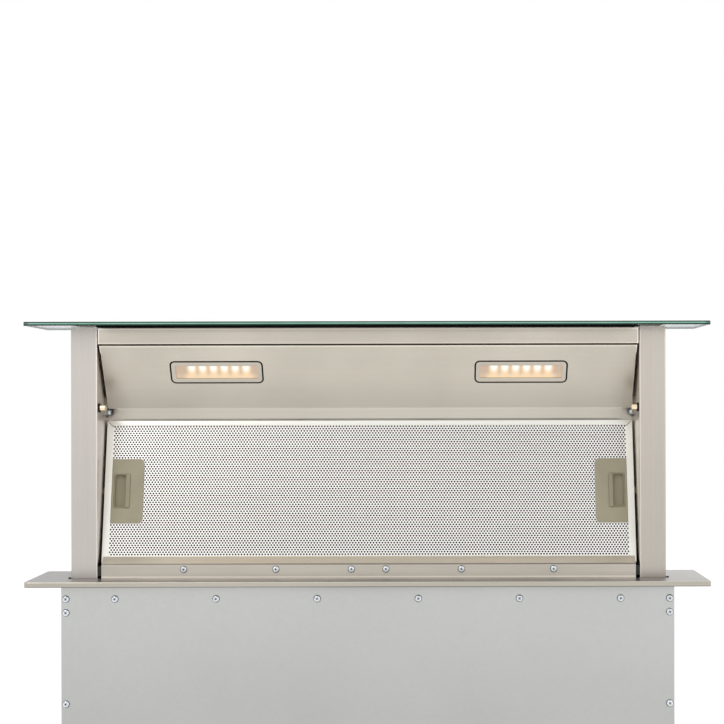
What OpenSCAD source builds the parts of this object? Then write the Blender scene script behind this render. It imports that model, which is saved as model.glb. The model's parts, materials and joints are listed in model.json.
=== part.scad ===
// Retractable downdraft range hood, drawn raised.
// x = 0 is the middle of the hood, y = 0 the middle of the worktop trim with the front at -y,
// and z = 0 the worktop surface that the trim rests on.

/* [Worktop trim] */
// Length of the trim along the worktop
trim_w = 880; // [860:1:960]
// Depth of the trim, front to back
trim_d = 120; // [116:0.5:140]
// Height of the trim above the worktop
trim_h = 7; // [5:0.5:12]
// Plan radius of the trim's and the glass's corners
corner_r = 4; // [3.5:0.5:25]
// Sheet thickness of the trim
trim_sheet = 2; // [1:0.5:3]
// Depth of the folded edge around the slot
fold_h = 10; // [6:1:16]
// Sheet thickness of the folded edge
fold_sheet = 1.2; // [0.8:0.1:1.5]
// Clearance between the slot and the tower, at each end
slot_side_gap = 1.2; // [0.8:0.1:2]
// Clearance between the slot and the tower, at the front
slot_front_gap = 2; // [1:0.1:3]
// Clearance between the slot and the tower, at the back
slot_back_gap = 1.5; // [1:0.1:2]

/* [Housing] */
// Inset of the housing's ends from the trim's ends
body_end_inset = 46; // [42:0.5:60]
// Inset of the housing's back from the trim's back
body_back_inset = 6; // [5.5:0.5:8]
// Set-back of the housing's front behind the trim's front
body_set_back = 10; // [8:0.5:12]
// Gap between the slides and the housing's floor
floor_gap = 15; // [12:1:100]
// Sheet thickness of the housing
body_sheet = 1; // [0.8:0.1:1.5]
// Width of the folded flanges inside the housing
flange_w = 14; // [13:0.5:16]
// Height of the trim's down-turned flanges inside the housing
trim_flange_h = 25; // [22:1:40]
// Depth of the top screw row below the worktop
screw_row_z = 16; // [11:1:20]
// Distance between the screws along the housing's edges
screw_pitch_z = 117.4; // [100:0.1:130]
// Distance between the screws of the top row, as a share of the housing's length
screw_share = 0.165; // [0.1:0.005:0.17]
// Number of screws along each edge of the housing
screw_rows = 6; // [3:1:6]

/* [Tower] */
// Gap between the housing's sides and the tower's ends
tower_end_gap = 4.7; // [4.5:0.1:6]
// Inset of the columns' back from the trim's back
tower_back_inset = 13; // [12.5:0.1:14]
// Set-back of the columns behind the trim's front
tower_set_back = 39; // [38:0.5:40]
// Width of each column's front
col_w = 34.4; // [33:0.1:38]
// Sheet thickness of the columns and the other tower sheets
col_sheet = 1.2; // [1:0.1:1.5]
// Reach of the columns below the worktop when the tower is up
col_below = 46; // [44:1:60]
// Height of the glass's underside above the trim when the tower is up
glass_rise = 328; // [320:1:330]
// Thickness of the glass top
glass_t = 5; // [4:0.5:8]
// Thickness of the black seal under the glass
seal_t = 1.5; // [1:0.1:2.5]
// Inset of the seal's front edge from the glass's front edge
seal_inset = 3; // [2:0.5:12]
// Gap between the seal's ends and the columns
seal_end_gap = 7; // [2:0.5:12]
// Gap left above the trim when the tower is down
park_gap = 0.5; // [0.4:0.1:3]
// Height of the header above the lamp panel
header_h = 21; // [18:0.5:24]
// Depth of the header's folds
header_fold = 15; // [10:0.5:16]
// Gap between the header's ends and the columns
header_gap = 1; // [0.5:0.1:2]
// Thickness of the top plate under the seal
top_plate_t = 1.5; // [1:0.1:2.5]
// Thickness of the back panel
back_t = 1; // [0.8:0.1:1.2]

/* [Lamp panel] */
// Gap between the header and the lamp panel's top edge
panel_gap = 2.1; // [1.5:0.1:4]
// Gap between the lamp panel's ends and the columns
panel_side_gap = 2.7; // [2.5:0.1:4]
// Distance of the slope's foot ahead of the columns' back
panel_back_gap = 18; // [17:0.5:21]
// Height of the sloping part of the lamp panel
panel_drop = 82.4; // [80:0.1:86]
// Height of the upright lip below the slope
lip_h = 12.5; // [11:0.1:12.6]
// Distance from the panel's ends to the lip's ends
lip_inset = 13.2; // [12:0.1:20]
// Depth of the panel's side folds
panel_fold = 14; // [10:0.5:14]
// Distance of the pivot ahead of the columns' back
pivot_inset = 9; // [8:0.1:10]
// Height of the pivot below the foot of the slope
pivot_drop = 4.8; // [4:0.1:6]
// Radius of the pivot screw's shank
pivot_r = 2.5; // [2:0.1:3]
// Running clearance around the pivot screw's shank
pivot_clear = 0.05; // [0.02:0.01:0.1]
// Radius of the ear around the pivot
ear_r = 7; // [6:0.1:7.5]
// Radius of the pivot screw's head
pivot_head_r = 4.8; // [4:0.1:5.5]
// Distance of the stop bush behind the columns' front
bush_back = 9; // [8:0.1:12]
// Height of the stop bush above the pivot
bush_rise = 6.3; // [4:0.1:7]
// Radius of the brass stop bush
bush_r = 4.5; // [3.5:0.1:5]
// Length of the stop bush that stands out from the column
bush_len = 9; // [7:0.1:10]
// Radius of the dark collar round the stop bush
collar_r = 5.8; // [5.5:0.1:6.5]
// Gap between the dark collar's face and the lamp panel
collar_gap = 0.4; // [0.3:0.1:1]

/* [Lamps] */
// Length of a lamp's frame
lamp_w = 122; // [110:1:140]
// Height of a lamp's frame along the slope
lamp_h = 33.5; // [30:0.5:38]
// Corner radius of a lamp's frame
lamp_r = 5; // [3:0.5:8]
// Distance of a lamp's middle from the lamp panel's end
lamp_inset = 148; // [110:1:170]
// Distance of a lamp's middle below the panel's top edge, along the slope
lamp_down = 39; // [35:0.5:45]
// Length of a lamp's window
lens_w = 108; // [96:1:112]
// Height of a lamp's window along the slope
lens_h = 21; // [18:0.5:24]
// Thickness of a lamp's window
lens_t = 2; // [1.5:0.1:3]
// Depth of a lamp's case behind the panel
lamp_case_d = 14; // [11:0.5:16]
// Gap round a lamp's frame in the panel
lamp_gap = 0.5; // [0.3:0.1:1]
// Number of light-emitting diodes in a lamp
led_count = 6; // [3:1:7]
// Distance between the diodes
led_pitch = 14.3; // [10:0.1:14.5]

/* [Filter] */
// Gap between the filter's ends and the columns
filter_side_gap = 2.4; // [1.5:0.1:4]
// Gap between the lip and the filter's top
filter_gap = 3.5; // [3:0.1:6]
// Thickness of the filter
filter_t = 10; // [9.5:0.1:10.5]
// Visible width of the filter's frame
frame_w = 9.5; // [7:0.5:9.5]
// Sheet thickness of the filter's frame
frame_sheet = 1; // [0.8:0.1:1.2]
// Thickness of the perforated sheet
mesh_t = 0.8; // [0.5:0.1:1]
// Reach of the filter behind the ledge
filter_hook = 9; // [7:0.5:10]
// Clearance between the filter and the ledge's edge
hook_clear = 0.4; // [0.3:0.1:1]

/* [Latches] */
// Width of a latch plate
latch_w = 41; // [39:0.5:46]
// Height of a latch plate
latch_h = 86; // [70:1:100]
// Corner radius of a latch plate
latch_r = 4; // [2:0.5:8]
// Distance of a latch plate's middle from the filter's end
latch_inset = 31; // [30.5:0.5:33.5]
// Share of the filter's length above a latch's middle
latch_share = 0.497; // [0.4:0.001:0.58]
// Width of the finger recess
recess_w = 14.6; // [13:0.1:16]
// Height of the finger recess
recess_h = 43; // [36:0.5:50]
// Depth of a latch's slider
slider_d = 7; // [6.5:0.1:7]
// Width of the raised lip beside the recess
grip_w = 5.5; // [5.4:0.1:8]
// Travel of a latch
latch_travel = 4; // [3:0.1:4]
// Height of the bolt
bolt_h = 8; // [6:0.5:12]
// Thickness of the bolt
bolt_t = 3; // [2:0.1:3.2]
// Gap between the bolt's tip and the column
bolt_gap = 0.4; // [0.3:0.1:1]

/* [Rail and tray] */
// Height of the rail's front above the trim
rail_h = 17.6; // [15:0.1:19]
// Depth of the sloping ledge
ledge_run = 11.8; // [11.2:0.1:13]
// Rise of the sloping ledge above the rail
ledge_rise = 9.4; // [8:0.1:10.5]
// Gap between the rail's visible ends and the columns
rail_end_gap = 5; // [2:0.5:8]
// Height of the rail screws above the trim
rail_screw_z = 11.4; // [8:0.1:12]
// Places of the rail screws on each side of the middle, as shares of the tower's length
rail_screw_share = [0.029, 0.156, 0.311]; // [0.02:0.001:0.42]
// Depth of the drip tray, front to back
tray_d = 20; // [14:0.5:21]
// Height of the drip tray's back wall
tray_h = 5; // [3:0.5:6]

/* [Lower frame and slides] */
// Amount by which the slides' members are shorter than the tower's travel
slide_short = 6; // [2:1:20]
// Width of a slide's outer member
slide_w = 35; // [34:0.5:40]
// Sheet thickness of the slide members
slide_sheet = 1.2; // [1:0.1:1.3]
// Running gap between slide members
slide_gap = 0.4; // [0.3:0.1:0.5]
// Thickness of the whole slide
slide_t = 12.2; // [12:0.1:12.8]
// Gap between the columns' feet and the slides when the tower is down
slide_top_gap = 4; // [3:0.5:8]
// Height of the crossbar at the foot of the lower frame
crossbar_h = 20; // [16:1:30]

/* [Lifting column] */
// Radius of the actuator's tube
tube_r = 14; // [12:0.5:14]
// Wall of the actuator's tube
tube_wall = 1.5; // [1:0.1:2.5]
// Distance of the actuator ahead of the columns' back
act_inset = 17.5; // [16.5:0.5:18]
// Radius of the lift motor
lift_motor_r = 17; // [14:0.5:17.5]
// Length of the lift motor beside the gear case
lift_motor_len = 96; // [70:1:140]
// Height of the gear case's top above the housing's floor
gear_top = 72; // [66:1:90]
// Radius of the actuator's rod
rod_r = 7; // [6:0.5:8]
// Height of the rod's upper pin above the worktop
rod_pin_z = 94; // [90:1:100]
// Radius of the clevis pins
pin_r = 3; // [2.5:0.1:3.5]
// Running clearance in the tube's guide and at the clevis pins
act_clear = 0.05; // [0.02:0.01:0.1]

/* [Blower] */
// Length of the blower's box
box_w = 340; // [330:1:380]
// Depth of the blower's box
box_d = 180; // [176:1:200]
// Height of the blower's box
box_h = 320; // [310:1:340]
// Sheet thickness of the blower's box
box_sheet = 1.2; // [1:0.1:2]
// Radius of the impeller
fan_r = 100; // [80:1:104]
// Width of the impeller
fan_w = 118; // [90:1:120]
// Number of impeller blades
blade_count = 30; // [12:1:36]
// Radius of the impeller's inlet
inlet_r = 78; // [70:1:80]
// Radius of the fan motor
motor_r = 52; // [40:1:56]
// Length of the fan motor ahead of the scroll
motor_len = 22; // [15:0.5:26]
// Length of the fan motor inside the scroll
motor_nose = 8; // [4:0.5:8.5]
// Radius of the fan motor's shaft
shaft_r = 4; // [3:0.5:6]
// Sheet thickness of the impeller's plates
fan_sheet = 2; // [1:0.1:2.5]
// Distance of the fan's axis to the left of the hood's middle
fan_offset = 30; // [20:1:40]
// Gap between the impeller and the scroll at its narrowest
scroll_gap = 12; // [8:0.5:14]
// Growth of the scroll's radius at each quarter turn
scroll_growth = 11; // [6:0.5:12]
// Sheet thickness of the scroll
scroll_wall = 2; // [1:0.1:2.5]
// Gap between the scroll and the floor of the blower's box
scroll_room = 27; // [20:1:30]
// Gap between the blower's cover and the scroll
scroll_front_gap = 30; // [28:0.5:40]
// Gap between the scroll and the housing
scroll_back_gap = 10; // [8:0.5:12]
// Height of the scroll's outlet
outlet_h = 130; // [110:1:140]
// Gap between the scroll's outlet and the box's side
outlet_gap = 0.3; // [0.2:0.1:1]
// Outer radius of the duct spigot
spigot_r = 74.5; // [60:0.5:74.5]
// Length of the duct spigot
spigot_len = 50; // [40:1:70]
// Length of the spigot's neck, where the duct stops
neck_len = 4; // [3:0.5:8]
// How far the neck lies below the spigot's surface
neck_drop = 0.6; // [0.4:0.1:0.9]
// Distance of the control box to the left of the hood's middle
ctrl_offset = 30; // [0:1:40]
// Length of the control box
ctrl_w = 140; // [110:1:160]
// Depth of the control box
ctrl_d = 80; // [60:1:100]
// Height of the control box
ctrl_h = 60; // [45:1:80]
// Radius of the cable gland's bore
gland_bore_r = 4; // [3:0.5:5]

/* [Floor feet] */
// Reach of a floor foot beyond the housing's side
foot_reach = 46; // [40:1:60]
// Width of a floor foot
foot_w = 50; // [40:1:80]
// Height of a floor foot's upright leg
foot_leg = 60; // [50:1:90]
// Thickness of a floor foot
foot_t = 2; // [1.5:0.5:3]
// Radius of the floor foot's bolt hole
foot_hole_r = 4; // [3:0.25:5]

/* [Fasteners] */
// Radius of a sheet screw's head
head_r = 4.25; // [3.5:0.05:5]
// Height of a sheet screw's head
head_h = 2.4; // [2:0.1:3]
// Radius of a sheet screw's shank
shank_r = 1.9; // [1.5:0.05:2.2]
// Clearance around a sheet screw's shank
shank_clear = 0.05; // [0.02:0.01:0.1]
// Length of a sheet screw's shank
shank_len = 6; // [5:0.5:8]

/* [Hidden] */
$fn = 48;

eps = 0.01;
cut = 1;
trim_y0 = -trim_d / 2;
trim_y1 = trim_d / 2;
body_y0 = trim_y0 + body_set_back;
body_y1 = trim_y1 - body_back_inset;
body_w = trim_w - 2 * body_end_inset;
lift_travel = glass_rise - seal_t - park_gap;
slide_len = lift_travel - slide_short;
body_h = col_below + lift_travel + slide_top_gap + slide_len + floor_gap + body_sheet;
body_z0 = -body_h;
floor_z = body_z0 + body_sheet;
deck_z = trim_h - trim_sheet;
body_in_y0 = body_y0 + body_sheet;
body_in_y1 = body_y1 - body_sheet;
body_in_x = body_w / 2 - body_sheet;

tower_y0 = trim_y0 + tower_set_back;
tower_y1 = trim_y1 - tower_back_inset;
tower_w = body_w - 2 * (body_sheet + tower_end_gap);
back_y1 = tower_y1 + back_t;
col_in = tower_w / 2 - col_w;
col_z0 = -col_below;
glass_z = trim_h + glass_rise;
header_z1 = glass_z - seal_t;
header_z0 = header_z1 - header_h;

panel_z1 = header_z0 - panel_gap;
panel_z0 = panel_z1 - panel_drop;
panel_y1 = tower_y1 - panel_back_gap;
panel_run = panel_y1 - tower_y0;
panel_lean = atan(panel_run / panel_drop);
panel_len = norm([panel_run, panel_drop]);
panel_half = col_in - panel_side_gap;
lip_z0 = panel_z0 - lip_h;
lamp_x = panel_half - lamp_inset;
pivot_y = tower_y1 - pivot_inset;
pivot_z = panel_z0 - pivot_drop;
ear_gap = 0.4;
bush_y = tower_y0 + bush_back;
bush_z = pivot_z + bush_rise;

rail_z1 = trim_h + rail_h;
ledge_z = rail_z1 + ledge_rise;
filter_z1 = lip_z0 - filter_gap;
filter_y1 = panel_y1;
filter_half = col_in - filter_side_gap;
ledge_y = tower_y0 + ledge_run;
filter_lean = atan((filter_y1 - ledge_y - hook_clear) / (filter_z1 - ledge_z));
filter_len = (filter_z1 - ledge_z + filter_hook) / cos(filter_lean);
latch_x = filter_half - latch_inset;
rail_screw_x = tower_w * rail_screw_share;

slide_z1 = col_z0 - lift_travel - slide_top_gap;
slide_z0 = slide_z1 - slide_len;
slide_y = (tower_y0 + tower_y1) / 2;
act_y = tower_y1 - act_inset;
slide_in_x = body_in_x - slide_t;
skirt_out = slide_in_x;
skirt_z0 = slide_z0 + lift_travel - slide_top_gap;

slot_x = tower_w / 2 + slot_side_gap;
slot_y0 = tower_y0 - slot_front_gap;
slot_y1 = back_y1 + slot_back_gap;

screw_hole_r = shank_r + shank_clear;
body_edge_x = body_w / 2 - head_r - 1.75;
front_row_x = [for (k = [0.5, 1.5, 2.5]) k * screw_share * body_w];
edge_screw_z = -screw_row_z - 17.6;

box_y0 = body_y0 - box_d;
box_z0 = body_z0;
box_z1 = box_z0 + box_h;
scroll_x = -fan_offset;
scroll_y0 = box_y0 + scroll_front_gap;
scroll_y1 = body_y0 - scroll_back_gap;
scroll_base_r = fan_r + scroll_gap;
scroll_top = scroll_base_r + 3 * scroll_growth;
scroll_z = box_z0 + scroll_base_r + scroll_growth + scroll_wall + scroll_room;
scroll_depth = scroll_y1 - scroll_y0;
hub_len = 20;
scroll_end = box_w / 2 - box_sheet - outlet_gap - scroll_x;
fan_y0 = scroll_y0 + motor_nose + 2;
spigot_z = scroll_z + scroll_top - outlet_h / 2;
spigot_y = (scroll_y0 + scroll_y1) / 2;
ctrl_x = -ctrl_w / 2 - ctrl_offset;

trim_steel = [0.70, 0.69, 0.66];
brushed = [0.76, 0.74, 0.70];
galvanised = [0.74, 0.75, 0.74];
zinc = [0.80, 0.80, 0.79];
black = [0.06, 0.06, 0.06];
brass = [0.80, 0.66, 0.38];
alloy = [0.88, 0.88, 0.86];
olive = [0.62, 0.60, 0.50];

// A box given by its lowest and highest corners.
module span(low, high) {
    translate(low) cube(high - low);
}

// The same on both sides of the middle: the children are drawn for positive x.
module both_sides() {
    children();
    mirror([1, 0, 0]) children();
}

// One side's copy: the children are drawn for positive x, and side is -1 or 1.
module on_side(side) {
    if (side > 0) {
        children();
    } else {
        mirror([1, 0, 0]) children();
    }
}

// A rectangle w by d about the origin with round corners of radius r.
module round_rect(w, d, r) {
    square([w - 2 * r, d], center = true);
    square([w, d - 2 * r], center = true);
    for (x = [-1, 1], y = [-1, 1]) {
        translate([x * (w / 2 - r), y * (d / 2 - r)]) circle(r);
    }
}

// A rod of radius r and length len along +x, +y or +z from the origin.
module rod_x(r, len) {
    rotate([0, 90, 0]) cylinder(r = r, h = len);
}

module rod_y(r, len) {
    rotate([-90, 0, 0]) cylinder(r = r, h = len);
}

// A pan-head screw: the head stands on z = 0 and the shank runs down -z.
module pan_screw(head, rise, shank, len) {
    rotate_extrude() {
        polygon([[0, -len], [shank, -len], [shank, 0], [head, 0], [head, rise * 0.55],
                 [head * 0.8, rise * 0.88], [head * 0.45, rise], [0, rise]]);
    }
}

module sheet_screw() {
    pan_screw(head_r, head_h, shank_r, shank_len);
}

// Axis positions of the screws on one face of the housing, as [x, z].
function face_screws() = concat(
    [for (x = front_row_x, s = [-1, 1]) [s * x, -screw_row_z]],
    [for (s = [-1, 1]) [s * body_edge_x, -screw_row_z]],
    [for (s = [-1, 1], k = [0 : screw_rows - 1]) [s * body_edge_x, edge_screw_z - k * screw_pitch_z]]
);

module face_screw_holes(y) {
    for (p = face_screws()) {
        translate([p[0], y - 2 * cut, p[1]]) rod_y(screw_hole_r, 4 * cut);
    }
}

// The lamp panel's own frame: z runs down its slope from the top edge, y goes in behind its face.
module at_panel() {
    translate([0, tower_y0, panel_z1]) rotate([panel_lean, 0, 0]) children();
}

// The filter's own frame: z runs down its face from the top edge, y goes in behind its face.
module at_filter() {
    translate([0, filter_y1, filter_z1]) rotate([-filter_lean, 0, 0]) children();
}

// Worktop trim: deck, down-turned rim, folded slot edge and the flanges that carry the housing.
module worktop_trim() {
    color(trim_steel) difference() {
        union() {
            difference() {
                linear_extrude(trim_h) round_rect(trim_w, trim_d, corner_r);
                translate([0, 0, -cut]) linear_extrude(deck_z + cut)
                    round_rect(trim_w - 2 * trim_sheet, trim_d - 2 * trim_sheet, corner_r - trim_sheet);
            }
            span([-slot_x - fold_sheet, slot_y0 - fold_sheet, -fold_h],
                 [slot_x + fold_sheet, slot_y1 + fold_sheet, deck_z + eps]);
            for (y = [body_in_y0, body_in_y1 - fold_sheet]) {
                span([-body_in_x + flange_w + 2, y, -trim_flange_h],
                     [body_in_x - flange_w - 2, y + fold_sheet, deck_z + eps]);
            }
        }
        span([-slot_x, slot_y0, -fold_h - cut], [slot_x, slot_y1, trim_h + cut]);
        for (x = front_row_x, s = [-1, 1], y = [body_in_y0, body_in_y1]) {
            translate([s * x, y - 3, -screw_row_z]) rod_y(screw_hole_r, 6);
        }
    }
}

// Foam gasket between the trim and the worktop.
module trim_gasket() {
    gap = 0.3;
    color(black) difference() {
        linear_extrude(deck_z) round_rect(trim_w - 2 * trim_sheet - 2 * gap,
                                          trim_d - 2 * trim_sheet - 2 * gap, corner_r - trim_sheet - gap);
        span([-body_w / 2 - gap, body_y0 - gap, -cut], [body_w / 2 + gap, body_y1 + gap, deck_z + cut]);
    }
}

module housing_front() {
    color(galvanised) difference() {
        span([-body_w / 2, body_y0, floor_z], [body_w / 2, body_in_y0, deck_z]);
        face_screw_holes(body_y0);
        translate([scroll_x, body_y0 - cut, scroll_z]) rod_y(inlet_r + 5, 4 * cut);
    }
}

module housing_back() {
    color(galvanised) difference() {
        span([-body_w / 2, body_in_y1, floor_z], [body_w / 2, body_y1, deck_z]);
        face_screw_holes(body_y1);
    }
}

// One side of the housing: a channel whose flanges back the front and back sheets.
module housing_side(side) {
    color(galvanised) on_side(side) difference() {
        union() {
            span([body_in_x, body_in_y0, floor_z], [body_w / 2, body_in_y1, deck_z]);
            for (y = [body_in_y0, body_in_y1 - body_sheet]) {
                span([body_in_x - flange_w, y, floor_z + flange_w],
                     [body_in_x + eps, y + body_sheet, -fold_h - 1]);
            }
        }
        face_screw_holes(body_in_y0);
        face_screw_holes(body_in_y1);
    }
}

// The housing's floor, a tray with upstands inside the sheets.
module housing_base() {
    rise = flange_w - 3;
    color(galvanised) {
        span([-body_w / 2, body_y0, body_z0], [body_w / 2, body_y1, floor_z]);
        difference() {
            span([-body_in_x, body_in_y0, body_z0], [body_in_x, body_in_y1, floor_z + rise]);
            span([-body_in_x + body_sheet, body_in_y0 + body_sheet, floor_z],
                 [body_in_x - body_sheet, body_in_y1 - body_sheet, floor_z + rise + cut]);
        }
    }
}

module housing_screws() {
    color(zinc) {
        for (p = face_screws()) {
            translate([p[0], body_y0, p[1]]) rotate([90, 0, 0]) sheet_screw();
            translate([p[0], body_y1, p[1]]) rotate([-90, 0, 0]) sheet_screw();
        }
    }
}

// Angle feet that bolt the housing to the cabinet's floor.
module floor_feet() {
    x = body_w / 2;
    color(galvanised) both_sides() difference() {
        union() {
            span([x, -foot_w / 2, body_z0], [x + foot_t, foot_w / 2, body_z0 + foot_leg]);
            span([x, -foot_w / 2, body_z0], [x + foot_reach, foot_w / 2, body_z0 + foot_t]);
        }
        translate([x + foot_reach * 0.6, 0, body_z0 - cut]) cylinder(r = foot_hole_r, h = foot_t + 2 * cut);
    }
}

// A channel of a ball slide for positive x: its web lies at x0 to x1 and its flanges reach to x2.
module slide_channel(web0, web1, tip, width, z0) {
    span([web0, slide_y - width / 2, z0], [web1, slide_y + width / 2, z0 + slide_len]);
    low = min(web0, tip);
    high = max(web1, tip);
    for (y = [slide_y - width / 2, slide_y + width / 2 - slide_sheet]) {
        span([low, y, z0], [high, y + slide_sheet, z0 + slide_len]);
    }
}

middle_w = slide_w - 2 * slide_sheet - 2 * slide_gap;
inner_w = middle_w - 2 * slide_sheet - 2 * slide_gap;

module slide_outer(side) {
    color(zinc) on_side(side)
        slide_channel(body_in_x - slide_sheet, body_in_x, slide_in_x + 2, slide_w, slide_z0);
}

module slide_middle(side) {
    web1 = body_in_x - slide_sheet - slide_gap;
    color(zinc) on_side(side)
        slide_channel(web1 - slide_sheet, web1, slide_in_x + 3, middle_w, slide_z0 + lift_travel / 2);
}

module slide_inner(side) {
    tip = body_in_x - 2 * slide_sheet - 2 * slide_gap;
    color(zinc) on_side(side)
        slide_channel(slide_in_x, slide_in_x + slide_sheet, tip, inner_w, slide_z0 + lift_travel);
}

bracket_half = 20;
tube_z1 = rod_pin_z - bracket_half - lift_travel - 4;
gear_z1 = floor_z + gear_top;
rod_z0 = gear_z1 + lift_travel + 2;
low_pin_z = floor_z + 16;
cheek_in = rod_r + 0.3;
cheek_out = cheek_in + 3;

module actuator_tube() {
    guide_h = 20;
    color(black) translate([0, act_y, 0]) difference() {
        union() {
            translate([0, 0, gear_z1]) cylinder(r = tube_r, h = tube_z1 - gear_z1);
        }
        translate([0, 0, gear_z1 - cut])
            cylinder(r = tube_r - tube_wall, h = tube_z1 - gear_z1 - guide_h + cut);
        translate([0, 0, tube_z1 - guide_h - cut]) cylinder(r = rod_r + act_clear, h = guide_h + 2 * cut);
    }
}

// Gear case with the lift motor lying beside it.
module actuator_gear_case() {
    half = tube_r + 4;
    low = floor_z + 26;
    color(black) difference() {
        union() {
            span([-half - 6, act_y - half, low], [half + 6, act_y + half, gear_z1]);
            span([-rod_r, act_y - 10, low_pin_z - 8], [rod_r, act_y + 10, low + eps]);
            translate([half + 6 - eps, act_y, low + 5 + lift_motor_r]) rod_x(lift_motor_r, lift_motor_len);
        }
        translate([-rod_r - cut, act_y, low_pin_z]) rod_x(pin_r + act_clear, 2 * (rod_r + cut));
    }
}

// Clevis bracket on the housing's floor.
module actuator_foot() {
    color(zinc) difference() {
        union() {
            span([-30, act_y - 12, floor_z], [30, act_y + 12, floor_z + 2]);
            both_sides() span([cheek_in, act_y - 12, floor_z], [cheek_out, act_y + 12, low_pin_z + 8]);
        }
        translate([-cheek_out - cut, act_y, low_pin_z]) rod_x(pin_r + act_clear, 2 * (cheek_out + cut));
    }
}

// Headed pin of a clevis, along x.
module clevis_pin(z) {
    head = 1.5;
    color(zinc) translate([-cheek_out, act_y, z]) {
        rod_x(pin_r, 2 * cheek_out + 2);
        translate([-head, 0, 0]) rod_x(pin_r + 2, head);
    }
}

module actuator_rod() {
    color(zinc) difference() {
        union() {
            translate([0, act_y, rod_z0]) cylinder(r = rod_r, h = rod_pin_z - rod_z0 - 6);
            span([-rod_r, act_y - 6, rod_pin_z - 12], [rod_r, act_y + 6, rod_pin_z + 8]);
        }
        translate([-rod_r - cut, act_y, rod_pin_z]) rod_x(pin_r + act_clear, 2 * (rod_r + cut));
    }
}

// Bracket on the back panel that takes the rod's upper pin.
module actuator_head_bracket() {
    color(zinc) difference() {
        union() {
            span([-30, tower_y1 - 2, rod_pin_z - bracket_half], [30, tower_y1, rod_pin_z + bracket_half]);
            both_sides() span([cheek_in, act_y - 8, rod_pin_z - 14], [cheek_out, tower_y1, rod_pin_z + 14]);
        }
        translate([-cheek_out - cut, act_y, rod_pin_z]) rod_x(pin_r + act_clear, 2 * (cheek_out + cut));
    }
}

// Sheet case of the blower, open towards the housing and closed at the front by its cover.
module blower_box() {
    color(galvanised) difference() {
        span([-box_w / 2, box_y0 + box_sheet, box_z0], [box_w / 2, body_y0, box_z1]);
        span([-box_w / 2 + box_sheet, box_y0, box_z0 + box_sheet],
             [box_w / 2 - box_sheet, body_y0 + cut, box_z1 - box_sheet]);
        translate([box_w / 2 - 5, spigot_y, spigot_z]) rod_x(spigot_r - 3, 10);
        translate([ctrl_x, spigot_y, box_z1 - 5]) cylinder(r = 8, h = 10);
    }
}

module blower_cover() {
    inset = 10;
    color(galvanised) {
        span([-box_w / 2, box_y0, box_z0], [box_w / 2, box_y0 + box_sheet, box_z1]);
        for (x = [-1, 1], z = [box_z0 + inset, box_z1 - inset]) {
            translate([x * (box_w / 2 - inset), box_y0, z]) rotate([90, 0, 0])
                cylinder(r = head_r, h = head_h);
        }
    }
}

// Outline of the scroll grown by extra: four quarter discs of growing radius and the outlet duct.
module scroll_outline(extra) {
    for (q = [0 : 3]) {
        radius = scroll_base_r + q * scroll_growth + extra;
        intersection() {
            circle(radius, $fn = 96);
            rotate(-90 * (q + 1)) translate([-extra, -extra]) square(2 * radius);
        }
    }
    translate([0, scroll_top - outlet_h - extra]) square([scroll_end, outlet_h + 2 * extra]);
}

// The scroll's own frame: z runs to the front from its back plate.
module at_scroll() {
    translate([scroll_x, scroll_y1, scroll_z]) rotate([90, 0, 0]) children();
}

// Wrap of the scroll, open to the duct at its end.
module blower_scroll() {
    depth = scroll_depth - 2 * scroll_wall;
    color(alloy) at_scroll() translate([0, 0, scroll_wall]) difference() {
        linear_extrude(depth) scroll_outline(scroll_wall);
        translate([0, 0, -cut]) linear_extrude(depth + 2 * cut) union() {
            scroll_outline(0);
            translate([scroll_end - cut, scroll_top - outlet_h]) square([2 * cut, outlet_h]);
        }
    }
}

// Side plate of the scroll at depth z with a round hole of radius hole_r.
module scroll_plate(z, hole_r) {
    color(alloy) at_scroll() translate([0, 0, z]) difference() {
        linear_extrude(scroll_wall) scroll_outline(scroll_wall);
        translate([0, 0, -cut]) cylinder(r = hole_r, h = scroll_wall + 2 * cut, $fn = 96);
    }
}

// Motor, from its flange on the scroll's front to the shaft that carries the impeller.
module fan_motor() {
    flange_t = 2;
    color(black) translate([scroll_x, scroll_y0, scroll_z]) {
        translate([0, -motor_len, 0]) rod_y(motor_r - 4, motor_len + eps);
        translate([0, -flange_t, 0]) rod_y(motor_r + 14, flange_t);
        rod_y(motor_r, motor_nose);
        rod_y(shaft_r, motor_nose + 2 + hub_len + 2);
    }
}

// Back plate of the drum impeller with its hub.
module impeller_hub() {
    color(zinc) translate([scroll_x, fan_y0, scroll_z]) difference() {
        union() {
            rod_y(fan_r, fan_sheet);
            rod_y(shaft_r + 10, hub_len);
        }
        translate([0, -cut, 0]) rod_y(shaft_r + shank_clear, hub_len + 2 * cut);
    }
}

// Forward-curved blades between the impeller's back plate and rim.
module impeller_blades() {
    chord = (fan_r - inlet_r) * 8 / 11;
    color(zinc) translate([scroll_x, fan_y0 + fan_sheet, scroll_z]) {
        for (k = [0 : blade_count - 1]) {
            rotate([0, k * 360 / blade_count, 0]) translate([(inlet_r + fan_r) / 2, 0, 0])
                rotate([0, 28, 0]) translate([-chord / 2, 0, -0.6])
                    cube([chord, fan_w - 2 * fan_sheet, 1.2]);
        }
    }
}

// Ring that ties the blades at the inlet.
module impeller_rim() {
    color(zinc) translate([scroll_x, fan_y0 + fan_w - fan_sheet, scroll_z]) difference() {
        rod_y(fan_r, fan_sheet);
        translate([0, -cut, 0]) rod_y(inlet_r + 2, fan_sheet + 2 * cut);
    }
}

// Bell mouth that leads air from the housing into the impeller.
module inlet_ring() {
    color(black) translate([scroll_x, body_in_y0, scroll_z]) rotate([90, 0, 0]) rotate_extrude($fn = 96) {
        translate([inlet_r, 0]) square([1.5, body_in_y0 - scroll_y1 + scroll_wall]);
        translate([inlet_r, 0]) square([4.8, 0.8]);
    }
}

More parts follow.
